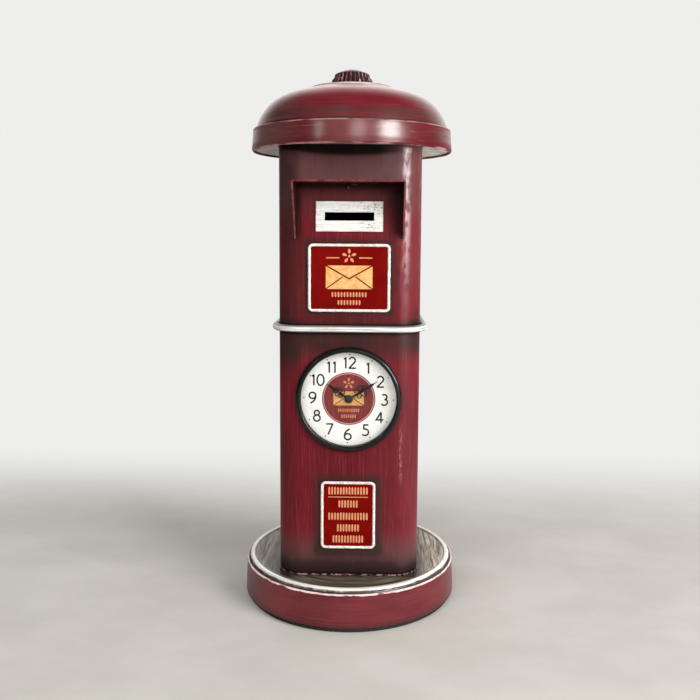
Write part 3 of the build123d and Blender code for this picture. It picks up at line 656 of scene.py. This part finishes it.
# ---- looks of plain working parts ----
def raw_tin():
    """Grey mottled tin, as left unpainted inside."""
    look = Look("raw_tin")
    mottle = look.grain((0.006, 0.006, 0.004), detail=5, rough=0.7)
    scratches = look.grain((0.0005, 0.012, 0.012), shift=2.0)
    colour = look.mix(mottle.rise(0.3, 0.7), (152, 145, 139), (226, 220, 214))
    colour = look.mix(scratches.rise(0.6, 0.8) * 0.3, colour, (224, 220, 216))
    rough = 0.4 + mottle * 0.2
    return look.coat(colour, rough, metal=0.25, normal=look.bump(mottle, 0.00008, 0.6))


def plain_metal(name, colour, other, grain_size, rough, metal=1.0):
    """Metal whose grain goes from one colour to the other and roughens it a little."""
    look = Look(name)
    grain = look.grain(grain_size, detail=4, rough=0.6)
    blend = look.mix(grain.rise(0.3, 0.7), colour, other)
    spread = rough + grain * 0.15
    return look.coat(blend, spread, metal=metal, normal=look.bump(grain, 0.00003, 0.5))


def moulded(name, colour, other, grain_size=0.0007, rough=0.45, depth=0.00003):
    """Moulded plastic or foam: a fine even grain and slight patches."""
    look = Look(name)
    grain = look.grain(grain_size)
    patches = look.grain(0.01, detail=2, shift=4.0)
    blend = look.mix(patches.rise(0.3, 0.7), colour, other)
    spread = rough + grain * 0.12
    return look.coat(blend, spread, normal=look.bump(grain, depth, 0.6))


def copper_wire():
    """Fine enamelled winding: rings of wire along the coil."""
    look = Look("copper_wire")
    rings = (look.x * (2 * math.pi / 0.00025)).sine()
    shade = rings.rise(-1.0, 1.0)
    colour = look.mix(shade, (96, 36, 16), (206, 108, 60))
    return look.coat(colour, 0.32, metal=0.8, normal=look.bump(shade, 0.00008, 0.8))


def circuit():
    """Green solder mask with lighter tracks under it."""
    look = Look("circuit")
    lines = ((look.x + look.z) * (2 * math.pi / 0.0016)).sine()
    track = abs(lines).rise(0.86, 0.94)
    colour = look.mix(track, (16, 74, 40), (48, 122, 70))
    return look.coat(colour, 0.35, coat=0.3, normal=look.bump(track, 0.00004, 0.7))


LOOKS = {
    make.__name__: make()
    for make in (
        column_paint, hood_paint, lid_paint, disc_paint, knob_paint, base_paint, silver_rod, silver_plate,
        dry_brushed, printed_red, dial_print, numeral_ink, bezel_metal, clear_lens, raw_tin, copper_wire,
        circuit,
    )
}
LOOKS["gold"] = printed_gold("printed_gold", 0.0)
LOOKS["dim_gold"] = printed_gold("printed_dim_gold", 0.55)
METALS = {
    "solder": ((30, 18, 16), (92, 62, 58), 0.0012, 0.32, 0.3),
    "zinc": ((168, 168, 164), (196, 196, 190), (0.002, 0.002, 0.0005), 0.3),
    "magnet": ((70, 70, 74), (98, 98, 100), 0.0005, 0.5),
    "brass": ((190, 150, 70), (214, 178, 96), (0.0006, 0.004, 0.0006), 0.28),
}
for name, settings in METALS.items():
    LOOKS[name] = plain_metal(name, *settings)
PLASTICS = {
    "hand_paint": ((16, 10, 7), (28, 18, 13), 0.0004, 0.6),
    "foam": ((20, 19, 18), (30, 29, 27), 0.0005, 0.8, 0.0002),
    "black_plastic": ((26, 26, 27), (34, 34, 35)),
    "white_plastic": ((214, 212, 204), (226, 225, 219)),
    "gear_plastic": ((216, 208, 186), (230, 224, 206)),
    "soft_rubber": ((22, 22, 22), (32, 32, 31), 0.0004, 0.65, 0.00005),
}
for name, settings in PLASTICS.items():
    LOOKS[name] = moulded(name, *settings)

NODES_BY_LOOK = {
    "column_paint": ["column"],
    "hood_paint": ["slot_hood"],
    "lid_paint": ["lid_dome"],
    "disc_paint": ["lid_top_disc"],
    "knob_paint": ["lid_knob"],
    "base_paint": ["base_pan"],
    "silver_rod": ["band_ring"],
    "silver_plate": ["slot_plate"],
    "dry_brushed": ["name_plate_frame", "notice_plate_frame"],
    "printed_red": ["name_plate_panel", "notice_plate_panel"],
    "dial_print": ["clock_dial"],
    "hand_paint": ["hour_hand", "minute_hand", "hand_cap"],
    "bezel_metal": ["clock_bezel"],
    "clear_lens": ["clock_lens"],
    "raw_tin": ["base_plate", "lid_underside", "lid_collar", "lid_collar_straps"],
    "solder": ["base_weld_beads"],
    "zinc": [
        "lid_knob_screw", "lid_knob_washer", "movement_screws", "rotor_arbor", "stator", "quartz_crystal",
        "button_cell",
    ],
    "magnet": ["rotor_magnet"],
    "brass": ["cannon_pinion", "battery_contacts"],
    "foam": ["foot_pad"],
    "black_plastic": [
        "clock_housing", "movement_back_case", "setting_knob", "driver_chip", "battery_cover",
    ],
    "white_plastic": ["movement_front_case", "movement_bridge", "setting_stem"],
    "gear_plastic": ["centre_wheel", "minute_wheel", "hour_wheel", "step_wheel"],
    "soft_rubber": ["clock_fit_ring"],
    "copper_wire": ["coil"],
    "circuit": ["circuit_board"],
}
for look_name, names in NODES_BY_LOOK.items():
    for name in names:
        mesh = nodes[name].data
        mesh.materials.clear()
        mesh.materials.append(LOOKS[look_name])


# ---- piece helpers ----
def add_piece(name, shape, look_name, body, smooth=False):
    """Turns a bmesh, in the row frame, into a piece that rides on a body."""
    mesh = bpy.data.meshes.new(name)
    bmesh.ops.recalc_face_normals(shape, faces=shape.faces)
    shape.to_mesh(mesh)
    shape.free()
    for face in mesh.polygons:
        face.use_smooth = smooth
    piece = bpy.data.objects.new(name, mesh)
    bpy.context.scene.collection.objects.link(piece)
    mesh.materials.append(LOOKS[look_name])
    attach(piece, body)
    return piece


class Print:
    """Flat shapes facing the viewer, gathered into one thin piece: points are (right, up) in metres."""

    def __init__(self, centre, face, depth=0.00006):
        self.centre = centre
        self.face = face
        self.depth = depth
        self.shape = bmesh.new()

    def area(self, points):
        """One filled, closed outline."""
        front = []
        back = []
        for right, up in points:
            x = self.centre.x + right
            z = self.centre.z + up
            front.append(self.shape.verts.new((x, self.face - self.depth, z)))
            back.append(self.shape.verts.new((x, self.face, z)))
        self.shape.faces.new(front)
        self.shape.faces.new(list(reversed(back)))
        for i in range(len(points)):
            j = (i + 1) % len(points)
            self.shape.faces.new((front[i], back[i], back[j], front[j]))

    def stroke(self, points, width):
        """A line through the points; width is one number, or a list with one for each point."""
        spots = [Vector(point) for point in points]
        widths = width if isinstance(width, list) else [width] * len(spots)
        same = 1e-9
        left = []
        right = []
        for i, here in enumerate(spots):
            back = here - spots[max(i - 1, 0)]
            ahead = spots[min(i + 1, len(spots) - 1)] - here
            incoming = back if back.length > same else ahead
            outgoing = ahead if ahead.length > same else incoming
            along = (incoming.normalized() + outgoing.normalized()).normalized()
            side = Vector((-along.y, along.x))
            square = Vector((-incoming.y, incoming.x)).normalized()
            reach = widths[i] / 2 / max(0.5, abs(side.dot(square)))
            left.append(here + side * reach)
            right.append(here - side * reach)
        for i in range(len(spots) - 1):
            self.area([right[i], right[i + 1], left[i + 1], left[i]])

    def finish(self, name, look_name, body):
        bmesh.ops.remove_doubles(self.shape, verts=self.shape.verts, dist=1e-7)
        return add_piece(name, self.shape, look_name, body)


CORNERS = ((1, 1), (-1, 1), (-1, -1), (1, -1))


def arc(centre, wide, tall, start, end, steps):
    """Points along an elliptical arc, angles in degrees from the right, anticlockwise."""
    found = []
    for i in range(steps + 1):
        angle = math.radians(start + (end - start) * i / steps)
        found.append((centre[0] + wide * math.cos(angle), centre[1] + tall * math.sin(angle)))
    return found


def shifted(points, scale, right=0.0, up=0.0):
    return [(x * scale + right, z * scale + up) for x, z in points]


def on_circle(radius, degrees):
    """Point on a clock face, degrees clockwise from the top."""
    angle = math.radians(degrees)
    return (radius * math.sin(angle), radius * math.cos(angle))


# ---- dial ----
# Each digit is one or more strokes in a box one unit tall.
SIX = [arc((0.56, 0.34), 0.5, 0.61, 100, 180, 10), arc((0.31, 0.3), 0.25, 0.26, 0, 360, 22)]
DIGITS = {
    "0": [arc((0.31, 0.5), 0.26, 0.46, 0, 360, 28)],
    "1": [[(0.1, 0.8), (0.24, 0.95)], [(0.24, 0.97), (0.24, 0.03)]],
    "2": [arc((0.29, 0.7), 0.23, 0.26, 160, -35, 14) + [(0.05, 0.05)], [(0.02, 0.05), (0.57, 0.05)]],
    "3": [arc((0.26, 0.74), 0.2, 0.21, 140, -80, 12), arc((0.24, 0.29), 0.26, 0.25, 82, -145, 14)],
    "4": [[(0.42, 0.96), (0.05, 0.3), (0.6, 0.3)], [(0.42, 0.96), (0.42, 0.03)]],
    "5": [[(0.5, 0.95), (0.16, 0.95), (0.13, 0.56)], arc((0.24, 0.32), 0.27, 0.28, 112, -140, 14)],
    "6": SIX,
    "7": [[(0.03, 0.94), (0.56, 0.94)], [(0.54, 0.95), (0.18, 0.03)]],
    "8": [arc((0.31, 0.75), 0.19, 0.2, 0, 360, 20), arc((0.31, 0.29), 0.25, 0.26, 0, 360, 22)],
    "9": [[(0.62 - x, 1 - z) for x, z in stroke] for stroke in SIX],
}
DIGIT_WIDTH = {digit: 0.68 for digit in DIGITS}
DIGIT_WIDTH["1"] = 0.38
DIGIT_GAP = 0.1
DIGIT_STRETCH = 1.1
NUMERAL_TALL = 7.0 * MM
NUMERAL_CIRCLE = 21.4 * MM
DOT_CIRCLE = 26.4 * MM
DOT_RADIUS = 0.38 * MM
DIAL_TURN = 1.2             # degrees that the pushed-in clock sits clockwise of upright


def make_numerals():
    """Numerals 1 to 12 and an hour dot outside each."""
    marks = Print(bezel, dial_face)
    for hour in range(1, 13):
        text = str(hour)
        width = sum(DIGIT_WIDTH[digit] for digit in text) + DIGIT_GAP * (len(text) - 1)
        right, up = on_circle(NUMERAL_CIRCLE, hour * 30 + DIAL_TURN)
        pen = right - width * NUMERAL_TALL / 2
        for digit in text:
            for stroke in DIGITS[digit]:
                points = [(x * DIGIT_STRETCH, z) for x, z in stroke]
                marks.stroke(shifted(points, NUMERAL_TALL, pen, up - NUMERAL_TALL / 2), 0.95 * MM)
            pen += (DIGIT_WIDTH[digit] + DIGIT_GAP) * NUMERAL_TALL
        marks.area(arc(on_circle(DOT_CIRCLE, hour * 30 + DIAL_TURN), DOT_RADIUS, DOT_RADIUS, 0, 330, 11))
    marks.finish("dial_numerals", "numeral_ink", "clock")


def rosette(marks, size, right, up):
    """Small flower of five leaf-shaped petals round a dot."""
    for petal in range(5):
        angle = math.radians(90 + 72 * petal)
        along = Vector((math.cos(angle), math.sin(angle)))
        side = Vector((-along.y, along.x))
        outline = []
        for share, wide in ((0.3, 0.0), (0.5, 0.16), (0.75, 0.2), (0.95, 0.1), (1.02, 0.0)):
            outline.append(along * share + side * wide)
        for share, wide in ((0.95, 0.1), (0.75, 0.2), (0.5, 0.16)):
            outline.append(along * share - side * wide)
        marks.area(shifted(outline, size, right, up))
    marks.area(shifted(arc((0, 0), 0.17, 0.17, 0, 330, 11), size, right, up))


def envelope(paper, folds, wide, tall, line, up):
    """Filled envelope, with its folds drawn over it on the second piece."""
    half_wide = wide / 2
    half_tall = tall / 2
    corner = line * 0.8
    outline = []
    for turn, (sx, sz) in enumerate(CORNERS):
        centre = (sx * (half_wide - corner), sz * (half_tall - corner) + up)
        outline += arc(centre, corner, corner, 90 * turn, 90 * turn + 90, 4)
    paper.area(outline)
    folds.stroke([(-half_wide, half_tall + up), (0, up - tall * 0.06), (half_wide, half_tall + up)], line)
    for side in (-1, 1):
        corner_fold = [(side * half_wide, up - half_tall), (side * wide * 0.14, up + tall * 0.02)]
        folds.stroke(corner_fold, line * 0.8)


def rule(marks, wide, tall, right, up):
    """Level bar with pointed ends."""
    end = wide / 2
    tip = tall / 2
    flat = end - tip
    outline = [(-end, 0), (-flat, tip), (flat, tip), (end, 0), (flat, -tip), (-flat, -tip)]
    marks.area(shifted(outline, 1.0, right, up))


def fence(marks, count, pitch, wide, tall, up):
    """Centred row of upright pointed bars, standing in for a line of words."""
    side = wide / 2
    for i in range(count):
        end = tall / 2 * random.uniform(0.94, 1.0)
        flat = end - wide * 0.6
        outline = [(0, end), (-side, flat), (-side, -flat), (0, -end), (side, -flat), (side, flat)]
        marks.area(shifted(outline, 1.0, (i - (count - 1) / 2) * pitch, up))


def make_emblems():
    """Generic print: an envelope, a rosette and rows of bars, in place of any mark or words."""
    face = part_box("name_plate_panel")[0].y
    sign = Print(name_plate, face)
    folds = Print(name_plate, face, 0.00008)
    envelope(sign, folds, 27 * MM, 13.6 * MM, 0.8 * MM, 0.4 * MM)
    sign.finish("name_plate_envelope", "gold", "box")
    folds.finish("name_plate_folds", "printed_red", "box")
    trim = Print(name_plate, face)
    rosette(trim, 4.2 * MM, 0.0, 12.6 * MM)
    for side in (-1, 1):
        rule(trim, 8 * MM, 0.7 * MM, side * 9.5 * MM, 11.6 * MM)
    fence(trim, 12, 1.75 * MM, 1.0 * MM, 3.3 * MM, -9.6 * MM)
    fence(trim, 8, 1.75 * MM, 1.0 * MM, 3.3 * MM, -14.2 * MM)
    trim.finish("name_plate_trim", "dim_gold", "box")

    small = Print(bezel, dial_face)
    small_folds = Print(bezel, dial_face, 0.00008)
    envelope(small, small_folds, 18 * MM, 8.4 * MM, 0.55 * MM, 0.2 * MM)
    small.finish("dial_envelope", "gold", "clock")
    small_folds.finish("dial_envelope_folds", "printed_red", "clock")
    small_trim = Print(bezel, dial_face)
    rosette(small_trim, 3.4 * MM, 0.0, 9.2 * MM)
    fence(small_trim, 10, 1.3 * MM, 0.7 * MM, 2.4 * MM, -6.9 * MM)
    fence(small_trim, 7, 1.3 * MM, 0.7 * MM, 2.4 * MM, -10.5 * MM)
    small_trim.finish("dial_trim", "dim_gold", "clock")

    notice = Print(notice_plate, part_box("notice_plate_panel")[0].y)
    rows = [(14.9, 14), (6.9, 7), (-0.7, 14), (-7.8, 8), (-14.7, 11)]
    for up, count in rows:
        fence(notice, count, 1.72 * MM, 1.05 * MM, 5.0 * MM, up * MM)
    rule(notice, 24 * MM, 0.5 * MM, 0, 11.1 * MM)
    notice.finish("notice_plate_bars", "dim_gold", "box")


# ---- raised frames and solder ----
def rounded_path(half_wide, half_tall, corner, step):
    """Points and outward normals round a rounded rectangle, about step apart."""
    found = []
    for turn, (sx, sz) in enumerate(CORNERS):
        centre = Vector((sx * (half_wide - corner), sz * (half_tall - corner)))
        start = 90 * turn
        pieces = max(4, int(corner * math.pi / 2 / step))
        for i in range(pieces + 1):
            angle = math.radians(start + 90 * i / pieces)
            normal = Vector((math.cos(angle), math.sin(angle)))
            found.append((centre + normal * corner, normal))
        run = 2 * ((half_wide - corner) if turn % 2 == 0 else (half_tall - corner))
        count = int(run / step)
        last, normal = found[-1]
        along = Vector((-normal.y, normal.x))
        for i in range(1, count):
            found.append((last + along * run * i / count, normal))
    return found


def make_raised_frame(name, node, seed):
    """Slightly uneven half-round bead round a plate, in place of the even CAD frame."""
    low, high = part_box(node)
    centre = (low + high) / 2
    half = (high - low) / 2
    wide = 1.0 * MM
    path = rounded_path(half.x - wide, half.z - wide, 2.0 * MM, 0.5 * MM)
    shape = bmesh.new()
    loops = []
    steps = 8
    for place, normal in path:
        sample = Vector((place.x, place.y, seed)) * 260
        wave = noise.noise(sample)
        fine = noise.noise(sample * 3.1)
        reach = wide * (0.9 + 0.1 * wave)
        tall = (high.y - low.y) * (0.8 + 0.14 * wave + 0.06 * fine)
        offset = wide * 0.06 * fine
        loop = []
        for i in range(steps + 1):
            angle = math.pi * i / steps
            out = place + normal * (offset + reach * math.cos(angle))
            depth = high.y - tall * math.sin(angle) ** 0.8
            loop.append(shape.verts.new((centre.x + out.x, depth, centre.z + out.y)))
        loops.append(loop)
    for i, loop in enumerate(loops):
        after = loops[(i + 1) % len(loops)]
        for j in range(steps):
            shape.faces.new((loop[j], after[j], after[j + 1], loop[j + 1]))
        shape.faces.new((loop[steps], after[steps], after[0], loop[0]))
    piece = add_piece(name, shape, "dry_brushed", "box", smooth=True)
    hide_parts(node)


def lumpy_run(shape, places, sizes, seed):
    """Closed lumpy bar of solder through the places."""
    sides = 9
    loops = []
    for i, (place, size) in enumerate(zip(places, sizes)):
        before = places[max(0, i - 1)]
        after = places[min(len(places) - 1, i + 1)]
        along = (after - before).normalized()
        side = along.cross(Vector((0, 0, 1))).normalized()
        up = side.cross(along)
        loop = []
        for j in range(sides):
            angle = 2 * math.pi * j / sides
            lump = 1 + 0.3 * noise.noise(Vector((i * 0.7 + seed, math.cos(angle), math.sin(angle))))
            out = side * math.cos(angle) + up * math.sin(angle)
            loop.append(shape.verts.new(place + out * size * lump))
        loops.append(loop)
    for first, second in zip(loops, loops[1:]):
        for j in range(sides):
            k = (j + 1) % sides
            shape.faces.new((first[j], first[k], second[k], second[j]))
    shape.faces.new(list(reversed(loops[0])))
    shape.faces.new(loops[-1])


def make_solder():
    """Lumpy solder at the column's four foot corners."""
    shape = bmesh.new()
    centre = column_half - column_corner
    for corner in (45, 135, 225, 315):
        turn = math.radians(corner)
        start = Vector((math.copysign(centre, math.cos(turn)), math.copysign(centre, math.sin(turn)), 0))
        for swing in (-19, 19):
            places = []
            sizes = []
            for i in range(9):
                share = i / 8
                angle = math.radians(corner + swing + (share - 0.5) * 15)
                size = 0.8 * MM * (0.35 + math.sin(math.pi * share)) * random.uniform(0.8, 1.1)
                reach = column_corner + 0.35 * MM
                places.append(start + Vector((
                    reach * math.cos(angle), reach * math.sin(angle), base_top + size * 0.6
                )))
                sizes.append(size)
            lumpy_run(shape, places, sizes, corner + swing)
    piece = add_piece("corner_solder", shape, "solder", "box", smooth=True)
    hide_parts("base_weld_beads")


def make_hood_tack():
    """Dribble of solder under the middle of the hood's top, against the column."""
    shape = bmesh.new()
    places = []
    sizes = []
    for i in range(9):
        share = i / 8
        swell = 0.4 + math.sin(math.pi * min(1.0, share * 1.1 + 0.15))
        size = 0.75 * MM * swell * random.uniform(0.85, 1.1)
        places.append(Vector((
            (-1.8 + 1.6 * share) * MM, -column_half - size * 0.45, hood_high.z - (1.4 + 4.6 * share) * MM
        )))
        sizes.append(size)
    lumpy_run(shape, places, sizes, 3.0)
    sizes = [0.35 * MM, 0.7 * MM, 0.6 * MM, 0.65 * MM, 0.3 * MM]
    start = Vector((1.0 * MM, -column_half - 0.4 * MM, hood_high.z - 1.5 * MM))
    places = [start + Vector((0.9 * MM * i, 0, 0)) for i in range(len(sizes))]
    lumpy_run(shape, places, sizes, 5.0)
    add_piece("hood_solder", shape, "hood_paint", "box", smooth=True)


# ---- hands ----
def make_hand(name, node, body, reach, angle, hole):
    """Pierced hand: hub ring, waisted stem, three pairs of scrolls and a leaf point."""
    low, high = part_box(node)
    hub = 2.45 * MM
    work = Print(Vector((0, 0, 0)), high.y, high.y - low.y)
    work.stroke(arc((0, 0), (hole + hub) / 2, (hole + hub) / 2, 0, 360, 30), hub - hole)
    stem = [(0, 2.3 * MM), (0, reach * 0.3), (0, reach * 0.62), (0, reach * 0.8), (0, reach)]
    work.stroke(stem, [1.3 * MM, 0.8 * MM, 0.9 * MM, 0.65 * MM, 0.2 * MM])
    leaf = reach * 0.69
    steps = 18
    for side in (-1, 1):
        for along, size, start in ((0.30, 0.085, 200), (0.45, 0.105, 230), (0.6, 0.07, 200)):
            curl = size * reach
            points = []
            for i in range(steps + 1):
                turn = math.radians(start - 20 * i)
                tight = curl * (1 - 0.5 * i / steps)
                right = curl * 0.95 + tight * math.cos(turn)
                points.append((side * right, reach * along + tight * math.sin(turn)))
            work.stroke(points, [0.55 * MM * (1.15 - 0.4 * i / steps) for i in range(steps + 1)])
    for side in (-1, 1):
        work.area([
            (0, leaf), (side * 0.045 * reach, leaf + reach * 0.06),
            (side * 0.03 * reach, leaf + reach * 0.13), (0, leaf + reach * 0.2),
        ])
    turn = Matrix.Rotation(math.radians(angle), 3, "Y")
    for vertex in work.shape.verts:
        vertex.co = turn @ vertex.co + Vector((bezel.x, 0, bezel.z))
    piece = work.finish(name, "hand_paint", body)
    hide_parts(node)


make_numerals()
make_emblems()
make_raised_frame("name_plate_bead", "name_plate_frame", 0.0)
make_raised_frame("notice_plate_bead", "notice_plate_frame", 0.4)
make_solder()
make_hood_tack()
make_hand("hour_hand_scrolled", "hour_hand", "hour_pipe", 15.7 * MM, 305.0, 1.82 * MM)
make_hand("minute_hand_scrolled", "minute_hand", "minute_arbor", 20.4 * MM, 58.0, 1.07 * MM)


# ---- stage, light and camera ----
WARM_WHITE = (1.0, 0.995, 0.98, 1.0)
BACKDROP = srgb(238, 238, 236)
LIGHT_REACH = 1.15           # how far the lights round the object stand from its axis


def make_floor():
    """Pale plain floor that fades away towards the horizon."""
    shape = bmesh.new()
    bmesh.ops.create_circle(shape, cap_ends=True, segments=96, radius=3.0)
    mesh = bpy.data.meshes.new("floor")
    shape.to_mesh(mesh)
    shape.free()
    floor = bpy.data.objects.new("floor", mesh)
    bpy.context.scene.collection.objects.link(floor)
    look = Look("floor_finish")
    mottle = look.grain((0.08, 0.05, 0.05), detail=5, rough=0.6)
    colour = look.mix(mottle.rise(0.3, 0.7), (194, 191, 184), (204, 201, 195))
    mesh.materials.append(look.coat(colour, 0.8, spec=0.0))
    solid = Value(look.tree, look.surface.links[0].from_socket)
    clear = new_value(look.tree, "BsdfTransparent", {})
    faded = most(look.y.rise(0.08, 0.34), length(look.x, look.y).rise(0.55, 1.6))
    feed(look.surface, mix_shaders(faded, solid, clear))


def make_world():
    """Pale to look at, with soft light; reflections are dark in front and at the left, bright behind."""
    world = bpy.data.worlds.new("studio")
    bpy.context.scene.world = world
    world.use_nodes = True
    tree = world.node_tree
    tree.nodes.clear()
    output = tree.nodes.new("ShaderNodeOutputWorld")
    right, back, up = split_axes(new_value(tree, "TexCoord", {}, "Generated"))

    def glow(colour, strength):
        return new_value(tree, "Background", {"Color": colour, "Strength": strength})

    above = up.rise(-0.02, 0.3, 0.35, 1.8)
    behind = (right * 0.15 + back).rise(0.35, 1.0, 0.05, 1.0)
    glossy_ray = new_value(tree, "LightPath", {}, "Is Glossy Ray")
    camera_ray = new_value(tree, "LightPath", {}, "Is Camera Ray")
    lit = mix_shaders(glossy_ray, glow(WARM_WHITE, 0.5), glow(WARM_WHITE, above * behind))
    feed(output.inputs["Surface"], mix_shaders(camera_ray, lit, glow(BACKDROP, 1.0)))


def around(degrees, height):
    """Place at the lights' reach from the object's axis, degrees round to the right of the front."""
    turn = math.radians(degrees)
    return Vector((math.sin(turn) * LIGHT_REACH, -math.cos(turn) * LIGHT_REACH, height))


def make_light(name, place, target, wide, tall, power, glint=False):
    """Soft box that lights the paint and floor but isn't mirrored, or a glint that is only mirrored."""
    data = bpy.data.lights.new(name, "AREA")
    data.shape = "ELLIPSE" if glint else "RECTANGLE"
    data.size = wide
    data.size_y = tall
    data.energy = power
    data.color = (1.0, 0.99, 0.97)
    light = bpy.data.objects.new(name, data)
    bpy.context.scene.collection.objects.link(light)
    light.location = place
    light.visible_camera = False
    light.visible_glossy = glint
    light.visible_diffuse = not glint
    light.rotation_euler = (Vector(target) - Vector(place)).to_track_quat("-Z", "Y").to_euler()


def make_glint(name, degrees, height, wide, tall, power):
    """Mirrored light, level with the place on the axis that it points at."""
    make_light(name, around(degrees, height), (0, 0, height), wide, tall, power, glint=True)


def make_camera():
    """The photograph's viewing angle: a little above the middle, looking slightly down."""
    swing = 1.0
    pitch = 6.12
    roll = 0.37
    data = bpy.data.cameras.new("camera")
    data.sensor_width = 36.0
    data.lens = 42.34
    data.shift_x = -0.0143
    data.shift_y = -0.04
    camera = bpy.data.objects.new("camera", data)
    bpy.context.scene.collection.objects.link(camera)
    turn = Matrix.Rotation(math.radians(swing), 4, "Z")
    place = Matrix.Translation((0.0057, -0.5184, 0.229))
    tilt = Matrix.Rotation(math.radians(90 - pitch), 4, "X") @ Matrix.Rotation(math.radians(roll), 4, "Z")
    camera.matrix_world = turn @ place @ tilt
    bpy.context.scene.camera = camera
    bpy.context.scene.view_settings.view_transform = "Standard"


make_floor()
make_world()
make_light("window", around(48, 0.72), (0, 0, 0.45), 0.6, 0.95, 16.5)
make_light("front_fill", (-0.5, -1.1, 0.9), (0, 0, 0.15), 0.9, 0.7, 8.0)
make_light("floor_bounce", (0.32, -0.05, 0.012), (0.3, -0.05, 0.5), 0.3, 0.3, 1.5)
make_glint("corner_glint", 44.5, 0.33, 0.76, 0.27, 12.0)
make_glint("rim_glint", 44.5, 0.62, 0.48, 0.15, 9.2)
make_glint("front_glint", 9, 0.61, 0.36, 0.12, 1.6)
make_glint("left_glint", -35, 0.61, 0.14, 0.12, 0.85)
make_camera()
